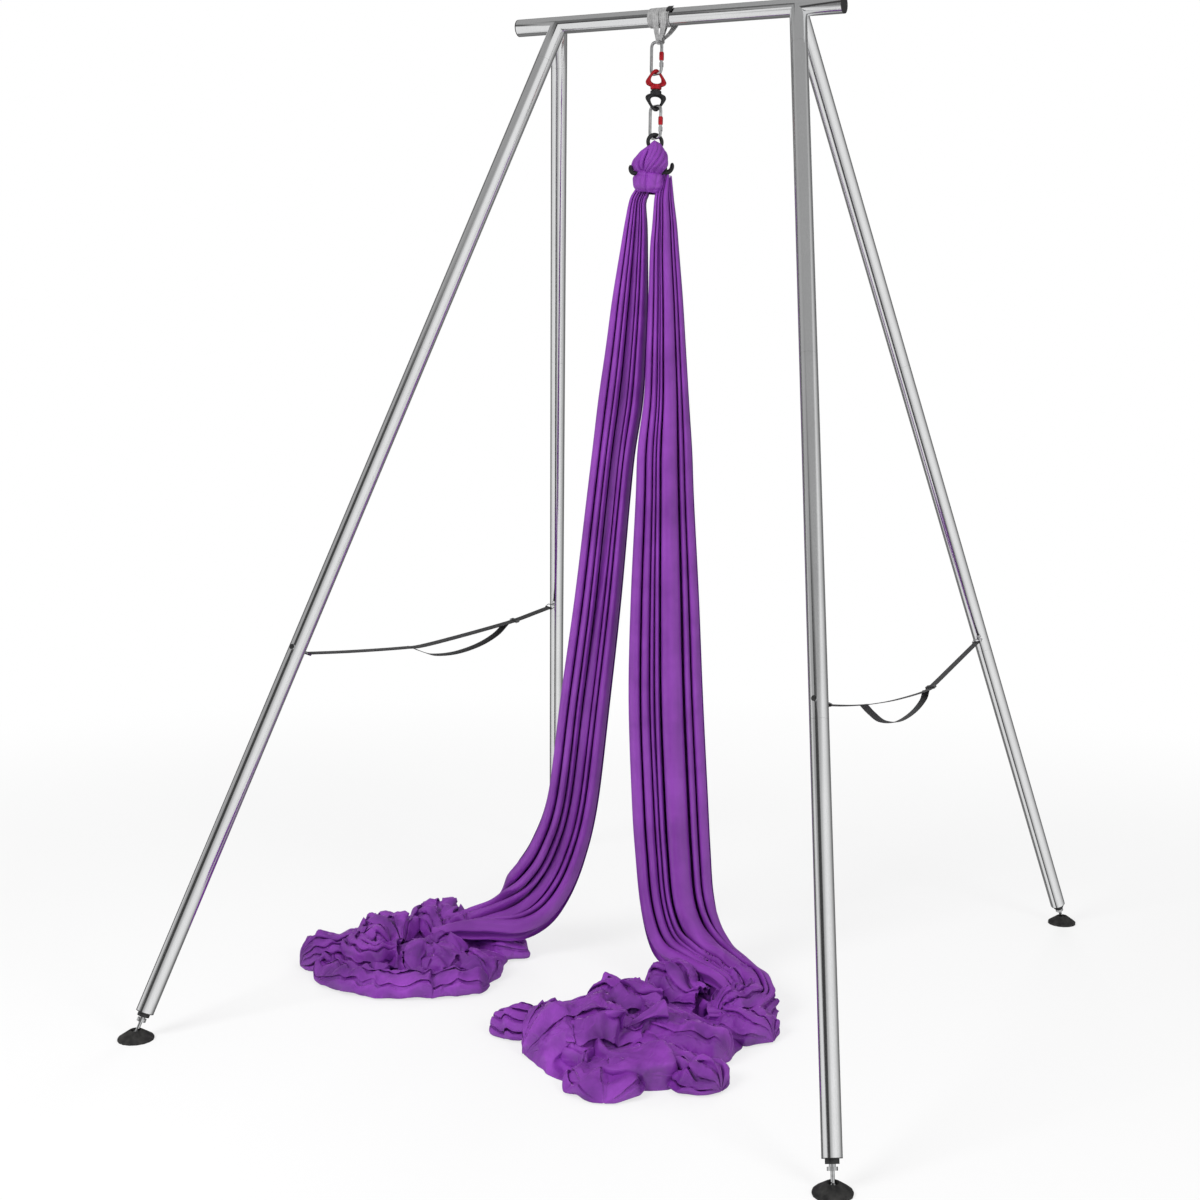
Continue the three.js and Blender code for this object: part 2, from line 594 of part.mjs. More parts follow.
function makeCarabiner(name, matrix) {
  const halfRod = carabiner.rod / 2;
  const reach = carabiner.width / 2 - halfRod;
  let body = toSolid(rodAlong(carabinerLine(), halfRod, carabiner.sides, false, axisY));
  const cheekHeight = carabiner.rod + halfRod;
  const cheek = new THREE.BoxGeometry(carabiner.rod, carabiner.rod, cheekHeight);
  body = body.add(toSolid(cheek, new THREE.Matrix4().makeTranslation(reach, 0, hingeZ)));
  const slotHeight = carabiner.slotDepth + cheekHeight / 2 + cutOverrun;
  const slot = new THREE.BoxGeometry(carabiner.rod * 2, carabiner.tongue + seatGap * 2, slotHeight);
  const slotMiddle = hingeZ + slotHeight / 2 - carabiner.slotDepth;
  body = body.subtract(toSolid(slot, new THREE.Matrix4().makeTranslation(reach, 0, slotMiddle)));
  const pinHoleRadius = carabiner.hingePinRadius + seatGap / 2;
  const pinHole = rodBetween(pinHoleRadius, -carabiner.rod, carabiner.rod, carabiner.sides);
  const hingeAt = new THREE.Matrix4().makeTranslation(reach, 0, hingeZ);
  body = body.subtract(toSolid(pinHole, hingeAt));
  addPiece(`carabiner_${name}_body`, toGeometry(body), "chrome", matrix);
  const hingePin = rodBetween(carabiner.hingePinRadius, -halfRod, halfRod, carabiner.sides);
  addPiece(`carabiner_${name}_hinge_pin`, hingePin, "steel", matrix.clone().multiply(hingeAt));
  makeGate(name, matrix, hingeAt, pinHole);
}

function makeGate(name, matrix, hingeAt, pinHole) {
  const alongZ = new THREE.Matrix4().makeRotationX(Math.PI / 2);
  const cheekTop = (carabiner.rod + carabiner.rod / 2) / 2;
  const shaftLow = cheekTop + carabiner.shaftLift;
  const shaftHigh = noseZ - hingeZ - seatGap;
  const shaft = toSolid(rodBetween(carabiner.gateRadius, shaftLow, shaftHigh, carabiner.sides), alongZ);
  const tongueHeight = shaftLow + carabiner.tongue + carabiner.hingePinRadius * 2;
  const tongue = new THREE.BoxGeometry(carabiner.gateRadius * 2 - cutOverrun, carabiner.tongue, tongueHeight);
  const tongueAt = new THREE.Matrix4().makeTranslation(0, 0, tongueHeight / 2 - carabiner.hingePinRadius * 2);
  const gate = shaft.add(toSolid(tongue, tongueAt)).subtract(toSolid(pinHole));
  addPiece(`carabiner_${name}_gate`, toGeometry(gate), "chrome", matrix.clone().multiply(hingeAt));
  const inner = carabiner.rod / 2 + seatGap;
  const low = carabiner.sleeveAboveHinge;
  const high = low + carabiner.sleeveLength;
  const grip = carabiner.sleeveRadius;
  const waist = (inner + grip) / 2;
  const profile = [
    [inner, low], [waist, low], [grip, low + carabiner.tongue], [grip, high - carabiner.tongue],
    [waist, high], [inner, high],
  ];
  const sleeve = turned(profile, foot.studSides);
  addPiece(`carabiner_${name}_sleeve`, sleeve, "redMetal", matrix.clone().multiply(hingeAt).multiply(alongZ));
}

// Swivel: two rounded eyes back to back, the lower one hanging on an axle inside the upper barrel
const swivelTop = chainTop - carabiner.height + carabiner.rod + seatGap + swivel.rod;
const swivelMiddle = swivelTop - swivel.height / 2;

function eyeLoop(outerEnd, direction) {
  const half = swivel.eyeWidth / 2 - swivel.rod / 2;
  const tip = outerEnd - (direction * swivel.rod) / 2;
  const root = swivelMiddle + direction * (swivel.barrelHeight + swivel.parting - swivel.rootSink);
  const deep = tip - root;
  const right = eyeShares.map(([wide, up]) => vec(half * wide, 0, root + deep * up));
  const left = eyeShares.slice(1).reverse().map(([wide, up]) => vec(-half * wide, 0, root + deep * up));
  const curve = new THREE.CatmullRomCurve3([...right, ...left], true, "centripetal");
  const points = curve.getPoints(swivel.steps).slice(0, -1);
  return toSolid(rodAlong(points, swivel.rod / 2, swivel.sides, true, axisY));
}

function makeSwivel() {
  const upright = new THREE.Matrix4().makeRotationX(Math.PI / 2);
  const matrix = new THREE.Matrix4().makeRotationZ(radians(chain.eyeTurn)).setPosition(sling.x, 0, 0);
  const parting = swivelMiddle + swivel.parting / 2;
  const barrelTop = swivelMiddle + swivel.barrelHeight;
  const rodAt = (radius, low, high) => toSolid(rodBetween(radius, low, high, foot.studSides), upright);
  const axleHole = swivel.axleRadius + swivel.turnGap;
  const headRoom = swivel.headHeight + seatGap * 2;
  const headLow = parting + swivel.headHeight;
  const upper = eyeLoop(swivelTop, 1)
    .add(rodAt(swivel.barrelRadius, parting, barrelTop))
    .subtract(rodAt(axleHole, parting - cutOverrun, headLow + headRoom))
    .subtract(rodAt(swivel.headRadius + swivel.turnGap, headLow, headLow + headRoom));
  addPiece("swivel_upper_eye", toGeometry(upper), "redMetal", matrix);
  const lowerTop = parting - swivel.parting;
  const lower = eyeLoop(swivelTop - swivel.height, -1)
    .add(rodAt(swivel.barrelRadius, swivelMiddle - swivel.barrelHeight, lowerTop))
    .subtract(rodAt(axleHole, lowerTop - swivel.headHeight * 2, lowerTop + cutOverrun));
  addPiece("swivel_lower_eye", toGeometry(lower), "blackMetal", matrix);
  const axle = rodAt(swivel.axleRadius, lowerTop - swivel.headHeight * 2 + seatGap, headLow + headRoom / 2)
    .add(rodAt(swivel.headRadius, headLow + seatGap, headLow + headRoom - seatGap));
  addPiece("swivel_axle", toGeometry(axle), "steel", matrix);
}

// Rescue figure-eight descender with two ears, in its own X-Z plane
const lowerCarabinerTop = swivelTop - swivel.height + swivel.rod + seatGap + carabiner.rod;
const eightTop = lowerCarabinerTop - carabiner.height + carabiner.rod + seatGap + eight.rod;

function circlePoints(centreZ, radius, steps) {
  return Array.from({ length: steps }, (unused, step) => {
    const angle = (step / steps) * Math.PI * 2;
    return vec(Math.cos(angle) * radius, 0, centreZ + Math.sin(angle) * radius);
  });
}

function eightSolid(extra, sides) {
  const radius = eight.rod / 2 + extra;
  const small = eight.smallOuter - eight.rod / 2;
  const big = eight.bigOuter - eight.rod / 2;
  const bigCentre = eight.bigOuter - eight.height;
  const ringPoints = (centre, size) => circlePoints(centre, size, eight.ringSteps);
  const ring = (centre, size) => toSolid(rodAlong(ringPoints(centre, size), radius, sides, true, axisY));
  let body = ring(-eight.smallOuter, small).add(ring(bigCentre, big));
  const neckHalf = eight.rod;
  const neckTop = -eight.smallOuter * 2 + eight.rod / 2;
  const neckBottom = bigCentre + eight.bigOuter - eight.rod / 2;
  for (const side of [-1, 1]) {
    const waist = vec(side * neckHalf * eight.neckShare, 0, (neckTop + neckBottom) / 2);
    const neckFoot = vec(side * neckHalf, 0, neckBottom - eight.neckSink);
    const neck = [vec(side * neckHalf, 0, neckTop + eight.rod), waist, neckFoot];
    body = body.add(toSolid(rodAlong(neck, radius, sides, false, axisY)));
    const ear = new THREE.CatmullRomCurve3([
      vec(side * big, 0, bigCentre),
      vec(side * (big + (eight.earReach - big) * eight.earShare), 0, bigCentre - eight.earDrop),
      vec(side * (eight.earReach - radius), 0, bigCentre + eight.hookRise),
      vec(side * (eight.earReach - radius), 0, bigCentre + eight.earRise),
    ]).getPoints(eight.earSteps);
    body = body.add(toSolid(rodAlong(ear, radius, sides, false, axisY)));
  }
  return body;
}

function makeFigureEight() {
  const geometry = toGeometry(eightSolid(0, eight.sides));
  addPiece("figure_eight", geometry, "blackMetal", hangAt(eightTop, chain.eightTurn));
}

// Silk knot round the big ring: two lobes above, a wrapped band below. Half widths and depths in millimetres
// from the knot's top to its bottom
const knotOutline = {
  wides: [14, 25, 35, 43, 48, 50, 46, 40, 39, 41, 41, 40, 38],
  deeps: [16, 25, 31, 35, 37, 37, 33, 29, 31, 36, 37, 35, 30],
};

const knotTop = eightTop - knot.drop;
const knotBottom = knotTop - knot.height;

function between(values, share) {
  const place = Math.min(Math.max(share, 0), 1) * (values.length - 1);
  const low = Math.min(Math.floor(place), values.length - 2);
  return THREE.MathUtils.lerp(values[low], values[low + 1], place - low);
}

function makeKnot() {
  const rings = [];
  for (let step = 0; step <= knot.steps; step += 1) {
    const share = step / knot.steps;
    const wide = between(knotOutline.wides, share);
    const deep = between(knotOutline.deeps, share);
    const height = THREE.MathUtils.lerp(knotTop, knotBottom, share);
    const slant = share * Math.PI;
    rings.push(Array.from({ length: knot.sides }, (unused, side) => {
      const angle = (side / knot.sides) * Math.PI * 2;
      const fold = 1 + knot.foldShare * Math.cos(knot.folds * angle + slant);
      return vec(sling.x + Math.cos(angle) * wide * fold, Math.sin(angle) * deep * fold, height);
    }));
  }
  const eightPlace = hangAt(eightTop, chain.eightTurn);
  const room = eightSolid(knot.coverClearance, eight.roomSides).transform(eightPlace.elements);
  const body = toSolid(facingOut(loftRings(rings))).subtract(room);
  addPiece("silk_knot", toGeometry(largestOf(body)), "silk");
}

// The tails: for each station its share of the way up from the floor, its middle and its half width
const tails = {
  left: {
    heightShares: [
      1, 0.9734, 0.9376, 0.8756, 0.7508, 0.6227, 0.4921, 0.3582, 0.2209, 0.1498, 0.0874, 0.0491, 0.0291,
    ],
    middles: [-92, -110, -122, -135, -163, -197, -232, -270, -313, -352, -430, -520, -620],
    forwards: [0, 0, 0, 0, 0, 0, 0, 0, 0, -10, -45, -105, -185],
    halves: [26, 34, 44, 54, 68, 72, 77, 82, 86, 90, 100, 100, 80], phase: 0.4,
  },
  right: {
    heightShares: [
      1, 0.9734, 0.9368, 0.8756, 0.7521, 0.6265, 0.4988, 0.369, 0.2379, 0.1718, 0.1057, 0.052, 0.025,
    ],
    middles: [-30, -24, -19, -11, -4, -3, 4, 15, 35, 51, 76, 112, 160],
    forwards: [0, 0, 0, 0, 0, 0, 0, 0, 0, -8, -35, -110, -260],
    halves: [26, 34, 44, 54, 66, 84, 98, 108, 114, 114, 112, 108, 90], phase: 1.7,
  },
};

function tailSolid(tail) {
  const start = knotBottom + silk.tailRise;
  const placeAt = (share, step) => vec(tail.middles[step], tail.forwards[step], start * share);
  const places = tail.heightShares.map(placeAt);
  const line = new THREE.CatmullRomCurve3(places, false, "centripetal");
  const rings = [];
  for (let step = 0; step <= silk.steps; step += 1) {
    const share = step / silk.steps;
    const centre = line.getPoint(share);
    const along = line.getTangent(share).normalize();
    const across = axisY.clone().cross(along).normalize();
    const deepways = along.clone().cross(across).normalize();
    const half = between(tail.halves, share);
    const pleat = silk.foldShare * Math.min(1, share * silk.folds);
    rings.push(Array.from({ length: silk.sides }, (unused, side) => {
      const angle = (side / silk.sides) * Math.PI * 2;
      const fold = 1 - (pleat * (1 + Math.cos(silk.folds * angle + tail.phase + share))) / 2;
      return centre.clone()
        .addScaledVector(across, Math.cos(angle) * half * fold)
        .addScaledVector(deepways, Math.sin(angle) * half * silk.depthShare * fold);
    }));
  }
  return toSolid(facingOut(loftRings(rings)));
}

// The piles: radii round the compass as shares of a pile's mean radius, and its mean height
const piles = {
  left: {
    x: -735, y: -235, radius: 365, height: 105, swirls: 5,
    radiusShares: [0.96, 0.92, 0.9, 0.98, 0.99, 0.97, 0.93, 0.95, 0.94, 1, 0.92, 0.95],
  },
  right: {
    x: 205, y: -465, radius: 470, height: 110, swirls: 6,
    radiusShares: [0.78, 0.86, 0.94, 1.06, 0.84, 0.84, 0.88, 0.9, 1.04, 1.16, 1.1, 0.86],
  },
};

function pileSolid(pile, lift) {
  const points = [vec(pile.x, pile.y, pile.height + lift)];
  const index = [];
  const sides = silk.pileSides;
  const roundValue = (values, angle) => {
    const place = (angle / (Math.PI * 2)) * values.length;
    const low = Math.floor(place) % values.length;
    return THREE.MathUtils.lerp(values[low], values[(low + 1) % values.length], place - Math.floor(place));
  };
  for (let ring = 1; ring <= silk.pileSteps; ring += 1) {
    const share = ring / silk.pileSteps;
    for (let side = 0; side < sides; side += 1) {
      const angle = (side / sides) * Math.PI * 2;
      const ripple = Math.sin(pile.swirls * angle + share * pileWaves.turn);
      const fine = Math.sin(pile.swirls * 2 * angle - share * pileWaves.fineTurn);
      const swollen = share * (1 + pileWaves.rimShare * ripple);
      const reach = pile.radius * roundValue(pile.radiusShares, angle) * swollen;
      const crown = Math.sqrt(Math.max(0, 1 - share ** pileWaves.crownPower));
      const crest = Math.cos(share * pileWaves.crest);
      const crease = pileWaves.turnShare * ripple + pileWaves.fineShare * fine + pileWaves.crestShare * crest;
      const rise = ring === silk.pileSteps ? 0 : pile.height * crown * (pileWaves.flatShare + crease);
      const height = silk.floorGap + rise;
      points.push(vec(pile.x + Math.cos(angle) * reach, pile.y + Math.sin(angle) * reach, height + lift));
    }
  }
  for (let side = 0; side < sides; side += 1) {
    const along = (side + 1) % sides;
    index.push(0, 1 + side, 1 + along);
    for (let ring = 0; ring < silk.pileSteps - 1; ring += 1) {
      const here = 1 + ring * sides;
      const next = here + sides;
      index.push(here + side, next + side, here + along);
      index.push(here + along, next + side, next + along);
    }
  }
  const rim = 1 + (silk.pileSteps - 1) * sides;
  points.push(vec(pile.x, pile.y, silk.floorGap + lift));
  const hub = points.length - 1;
  for (let side = 0; side < sides; side += 1) index.push(hub, rim + ((side + 1) % sides), rim + side);
  const geometry = new THREE.BufferGeometry().setFromPoints(points);
  geometry.setIndex(index);
  return toSolid(facingOut(geometry));
}

function makeSilk() {
  const block = new THREE.BoxGeometry(piles.right.radius, piles.right.radius, piles.right.radius);
  const blockZ = knotBottom - seatGap + piles.right.radius / 2;
  const aboveTails = toSolid(block, new THREE.Matrix4().makeTranslation(sling.x, 0, blockZ));
  for (const sideName of ["left", "right"]) {
    const pile = pileSolid(piles[sideName], 0);
    addPiece(`silk_pile_${sideName}`, toGeometry(pile), "silk");
    const belowPile = pileSolid(piles[sideName], seatGap * 2);
    const tail = tailSolid(tails[sideName]).subtract(belowPile).subtract(aboveTails);
    addPiece(`silk_tail_${sideName}`, toGeometry(largestOf(tail)), "silk");
  }
}

makeCrossbar();
makeEndCap("end_cap_left", -1);
makeEndCap("end_cap_right", 1);
for (const leg of legs) {
  makeLegTubes(leg);
  makeLockPin(leg);
  makeFootNut(leg);
  makeFootStud(leg);
  makeFootPad(leg);
}
makeStrap("left", -1);
makeStrap("right", 1);
makeSling();
makeCarabiner("upper", hangAt(chainTop, chain.upperTurn));
makeSwivel();
makeCarabiner("lower", hangAt(lowerCarabinerTop, chain.lowerTurn));
makeFigureEight();
makeKnot();
makeSilk();

export default rig;
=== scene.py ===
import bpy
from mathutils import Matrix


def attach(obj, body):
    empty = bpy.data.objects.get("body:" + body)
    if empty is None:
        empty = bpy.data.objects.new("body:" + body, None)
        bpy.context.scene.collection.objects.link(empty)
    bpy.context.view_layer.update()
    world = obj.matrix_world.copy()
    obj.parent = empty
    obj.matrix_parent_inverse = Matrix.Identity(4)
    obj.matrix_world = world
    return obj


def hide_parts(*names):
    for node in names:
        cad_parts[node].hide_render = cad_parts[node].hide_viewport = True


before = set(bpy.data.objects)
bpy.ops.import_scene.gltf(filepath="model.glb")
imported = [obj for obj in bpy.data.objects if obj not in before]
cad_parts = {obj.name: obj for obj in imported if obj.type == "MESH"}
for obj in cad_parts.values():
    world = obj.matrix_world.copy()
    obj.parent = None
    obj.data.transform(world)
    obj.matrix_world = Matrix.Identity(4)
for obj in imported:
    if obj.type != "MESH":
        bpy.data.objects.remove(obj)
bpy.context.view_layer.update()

import math
import bpy
import numpy as np
from mathutils import Matrix, Vector

# Stand tubes: four three-piece legs and a crossbar with welded stubs, of polished round steel
# tube. Each section slides over the one above it and butts at a thin seam.


def new_finish(name):
    """A material with nothing in it but its output and its Principled shader."""
    finish = bpy.data.materials.new(name)
    finish.use_nodes = True
    nodes = finish.node_tree.nodes
    nodes.clear()
    output = nodes.new("ShaderNodeOutputMaterial")
    shader = nodes.new("ShaderNodeBsdfPrincipled")
    finish.node_tree.links.new(shader.outputs["BSDF"], output.inputs["Surface"])
    return finish, nodes, finish.node_tree.links, shader


def object_place(nodes, links, stretch):
    """Object coordinates scaled along the three axes."""
    place = nodes.new("ShaderNodeTexCoord")
    mapping = nodes.new("ShaderNodeMapping")
    mapping.inputs["Scale"].default_value = stretch
    links.new(place.outputs["Object"], mapping.inputs["Vector"])
    return mapping.outputs["Vector"]


def noise_of(nodes, links, vector, scale, detail=4.0):
    """A noise texture's plain value."""
    noise = nodes.new("ShaderNodeTexNoise")
    noise.inputs["Scale"].default_value = scale
    noise.inputs["Detail"].default_value = detail
    links.new(vector, noise.inputs["Vector"])
    return noise.outputs["Fac"]


def spread(nodes, links, value, low, high, dark, light):
    """A ramp from dark to light between two values."""
    ramp = nodes.new("ShaderNodeValToRGB")
    ramp.color_ramp.elements[0].position = low
    ramp.color_ramp.elements[1].position = high
    ramp.color_ramp.elements[0].color = (*dark, 1)
    ramp.color_ramp.elements[1].color = (*light, 1)
    links.new(value, ramp.inputs["Fac"])
    return ramp.outputs["Color"]


def ranged(nodes, links, value, low, high):
    """A value from 0 to 1 spread between low and high."""
    span = nodes.new("ShaderNodeMapRange")
    span.inputs["To Min"].default_value = low
    span.inputs["To Max"].default_value = high
    links.new(value, span.inputs["Value"])
    return span.outputs["Result"]


def bumped(nodes, links, shader, height, strength, distance):
    """Relief on the shader's normal."""
    bump = nodes.new("ShaderNodeBump")
    bump.inputs["Strength"].default_value = strength
    bump.inputs["Distance"].default_value = distance
    links.new(height, bump.inputs["Height"])
    links.new(bump.outputs["Normal"], shader.inputs["Normal"])


def effect_group(name, inputs, outputs):
    """An empty shader node group with named sockets, and the nodes at its two ends."""
    group = bpy.data.node_groups.new(name, "ShaderNodeTree")
    for socket_name, socket_kind in inputs:
        group.interface.new_socket(name=socket_name, in_out="INPUT", socket_type=socket_kind)
    for socket_name in outputs:
        group.interface.new_socket(name=socket_name, in_out="OUTPUT", socket_type="NodeSocketFloat")
    return group, group.nodes.new("NodeGroupInput"), group.nodes.new("NodeGroupOutput")


def placed(nodes, group, values):
    """A node group placed in a material with its own values."""
    node = nodes.new("ShaderNodeGroup")
    node.node_tree = group
    for socket_name, value in values.items():
        node.inputs[socket_name].default_value = value
    return node


def joined(nodes, links, operation, first, second, third=None):
    """Two or three values put together; each is another node's output or a plain number."""
    node = nodes.new("ShaderNodeMath")
    node.operation = operation
    for socket, value in zip(node.inputs, (first, second, third)):
        if isinstance(value, bpy.types.NodeSocket):
            links.new(value, socket)
        elif value is not None:
            socket.default_value = value
    return node.outputs[0]


metal_grain, group_in, group_out = effect_group("metal grain", [("Stretch", "NodeSocketVector")],
                                                ["Tone", "Grain"])
metal_place = metal_grain.nodes.new("ShaderNodeTexCoord")
stretched = metal_grain.nodes.new("ShaderNodeMapping")
metal_grain.links.new(metal_place.outputs["Object"], stretched.inputs["Vector"])
metal_grain.links.new(group_in.outputs["Stretch"], stretched.inputs["Scale"])
grain = noise_of(metal_grain.nodes, metal_grain.links, stretched.outputs["Vector"], 1.0, 6.0)
clouds = object_place(metal_grain.nodes, metal_grain.links, (6, 6, 6))
cloudy = noise_of(metal_grain.nodes, metal_grain.links, clouds, 1.0, 3.0)
tone = joined(metal_grain.nodes, metal_grain.links, "MULTIPLY", grain, cloudy)
metal_grain.links.new(tone, group_out.inputs["Tone"])
metal_grain.links.new(grain, group_out.inputs["Grain"])


def metal_finish(name, dark, light, rough_low, rough_high, stretch, metallic=1.0):
    """Worked metal: fine grain in colour and roughness."""
    finish, nodes, links, shader = new_finish(name)
    worked = placed(nodes, metal_grain, {"Stretch": stretch})
    colour = spread(nodes, links, worked.outputs["Tone"], 0.12, 0.4, dark, light)
    links.new(colour, shader.inputs["Base Color"])
    roughness = ranged(nodes, links, worked.outputs["Grain"], rough_low, rough_high)
    links.new(roughness, shader.inputs["Roughness"])
    shader.inputs["Metallic"].default_value = metallic
    return finish


def dress(node_name, finish, split=35):
    """A carried-over node gets a finish, and its round faces shade smoothly between sharp edges."""
    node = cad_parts[node_name]
    node.data.materials.clear()
    node.data.materials.append(finish)
    node.data.polygons.foreach_set("use_smooth", [True] * len(node.data.polygons))
    weld = node.modifiers.new("weld", "WELD")
    weld.merge_threshold = 0.00002
    edges = node.modifiers.new("edges", "EDGE_SPLIT")
    edges.split_angle = math.radians(split)
    edges.use_edge_sharp = False


tube_steel = metal_finish("tube steel", (0.8, 0.805, 0.81), (0.87, 0.875, 0.88), 0.1, 0.17, (300, 300, 6))
LEG_NAMES = ("front_left", "front_right", "back_right", "back_left")
dress("crossbar", tube_steel)
for leg_name in LEG_NAMES:
    for part_name in ("upper", "middle", "lower"):
        dress(f"leg_{leg_name}_{part_name}_tube", tube_steel)

# End caps: black moulded plastic plugs with a slightly matt face, pressed into the crossbar's two
# ends.

cap_plastic, nodes, links, shader = new_finish("cap plastic")
speckle = noise_of(nodes, links, object_place(nodes, links, (900, 900, 900)), 1.0, 3.0)
cap_colour = spread(nodes, links, speckle, 0.3, 0.7, (0.012, 0.012, 0.012), (0.022, 0.022, 0.023))
links.new(cap_colour, shader.inputs["Base Color"])
links.new(ranged(nodes, links, speckle, 0.35, 0.55), shader.inputs["Roughness"])
bumped(nodes, links, shader, speckle, 0.3, 0.0003)
for side_name in ("left", "right"):
    dress(f"end_cap_{side_name}", cap_plastic)

# Lock pins: bright steel pins through the lower seams, each with a head outside and a wire ring
# inside that holds the strap.

bright_steel = metal_finish("bright steel", (0.38, 0.385, 0.39), (0.66, 0.665, 0.67), 0.06, 0.16,
                            (120, 120, 120))
for leg_name in LEG_NAMES:
    dress(f"lock_pin_{leg_name}", bright_steel)

# Levelling feet: a plastic nut in each leg's end, a bright threaded stud with a collar and a ball,
# and a black rubber pad that tilts on the ball.

foot_rubber, nodes, links, shader = new_finish("foot rubber")
dusty = noise_of(nodes, links, object_place(nodes, links, (60, 60, 25)), 1.0, 6.0)
pores = noise_of(nodes, links, object_place(nodes, links, (1400, 1400, 1400)), 1.0, 2.0)
rubber_colour = spread(nodes, links, dusty, 0.35, 0.8, (0.011, 0.011, 0.011), (0.045, 0.044, 0.042))
links.new(rubber_colour, shader.inputs["Base Color"])
links.new(ranged(nodes, links, dusty, 0.6, 0.85), shader.inputs["Roughness"])
bumped(nodes, links, shader, pores, 0.35, 0.0003)
for leg_name in LEG_NAMES:
    dress(f"foot_nut_{leg_name}", cap_plastic)
    dress(f"foot_stud_{leg_name}", bright_steel)
    dress(f"foot_pad_{leg_name}", foot_rubber)

# Straps: black webbing between the pins of each front leg and the back leg beside it. A sewn eye
# holds each ring, the main run is nearly taut, and the slack hangs under it in a loop.


def even_line(rows, spacing):
    """Rows of place and other values on a smooth curve through the given rows, at even spacing."""
    rows = np.array(rows, float)
    held = np.vstack([2 * rows[0] - rows[1], rows, 2 * rows[-1] - rows[-2]])
    fine = []
    for step in range(len(rows) - 1):
        before, here, after, beyond = held[step:step + 4]
        for share in np.linspace(0, 1, 24, endpoint=False):
            fine.append(0.5 * (2 * here + (after - before) * share
                               + (2 * before - 5 * here + 4 * after - beyond) * share ** 2
                               + (3 * here - before - 3 * after + beyond) * share ** 3))
    fine = np.array(fine + [rows[-1]])
    along = np.concatenate([[0], np.cumsum(np.linalg.norm(np.diff(fine[:, :3], axis=0), axis=1))])
    count = max(int(round(along[-1] / spacing)), 3)
    stations = np.linspace(0, along[-1], count + 1)
    return np.column_stack([np.interp(stations, along, fine[:, k]) for k in range(fine.shape[1])]), stations


def skin(name, grid, across_length, along_length, finish, round_closed=False):
    """A mesh over rows of points, with a UV map in metres; a closed round joins up its columns."""
    rows, cols = grid.shape[:2]
    points = grid.reshape(-1, 3)
    last = cols if round_closed else cols - 1
    faces = []
    for row in range(rows - 1):
        here, there = row * cols, (row + 1) * cols
        for col in range(last):
            beside = (col + 1) % cols
            faces.append((here + col, here + beside, there + beside, there + col))
    mesh = bpy.data.meshes.new(name)
    mesh.from_pydata(points.tolist(), [], faces)
    layer = mesh.uv_layers.new(name="cloth")
    corner_uv = np.zeros((len(mesh.loops), 2))
    spots = np.zeros(len(mesh.loops), int)
    mesh.loops.foreach_get("vertex_index", spots)
    corner_uv[:, 0] = (spots % cols) / last * across_length
    corner_uv[:, 1] = (spots // cols) / (rows - 1) * along_length
    if round_closed:
        quad = np.arange(len(mesh.loops)) % 4
        wrapped = ((spots % cols) == 0) & ((quad == 1) | (quad == 2))
        corner_uv[wrapped, 0] = across_length
    layer.data.foreach_set("uv", corner_uv.ravel())
    mesh.polygons.foreach_set("use_smooth", [True] * len(mesh.polygons))
    mesh.materials.append(finish)
    piece = bpy.data.objects.new(name, mesh)
    bpy.context.scene.collection.objects.link(piece)
    return piece


def web_strip(name, rows, thickness, finish, wideways, spacing=0.006):
    """Flat webbing with rounded edges along rows of x, y, z and width."""
    line, stations = even_line(rows, spacing)
    centre = line[:, :3]
    tangent = np.gradient(centre, axis=0)
    tangent /= np.linalg.norm(tangent, axis=1)[:, None]
    wide = np.broadcast_to(np.array(wideways, float), centre.shape) if np.ndim(wideways) == 1 else wideways
    wide = wide - tangent * (wide * tangent).sum(1)[:, None]
    wide /= np.linalg.norm(wide, axis=1)[:, None]
    flat = np.cross(wide, tangent)
    edge = [(-1, -0.3), (-0.97, -0.85), (-0.9, -1), (-0.5, -1), (0, -1), (0.5, -1), (0.9, -1),
            (0.97, -0.85), (1, -0.3), (1, 0.3), (0.97, 0.85), (0.9, 1), (0.5, 1), (0, 1), (-0.5, 1),
            (-0.9, 1), (-0.97, 0.85), (-1, 0.3)]
    half_wide = line[:, 3] / 2
    grid = np.stack([centre + wide * (half_wide * across)[:, None] + flat * (thickness / 2 * up)
                     for across, up in edge], axis=1)
    return skin(name, grid, 2 * float(np.mean(line[:, 3])), stations[-1], finish, round_closed=True)


def picked(piece):
    """Makes a piece the only selected one and the active one."""
    bpy.ops.object.select_all(action="DESELECT")
    piece.select_set(True)
    bpy.context.view_layer.objects.active = piece


def closed_ends(piece):
    """Closes the two open ends of a strip."""
    picked(piece)
    bpy.ops.object.mode_set(mode="EDIT")
    bpy.ops.mesh.select_all(action="DESELECT")
    bpy.ops.mesh.select_mode(type="EDGE")
    bpy.ops.mesh.select_non_manifold()
    bpy.ops.mesh.edge_face_add()
    bpy.ops.mesh.select_all(action="SELECT")
    bpy.ops.mesh.normals_make_consistent(inside=False)
    bpy.ops.object.mode_set(mode="OBJECT")


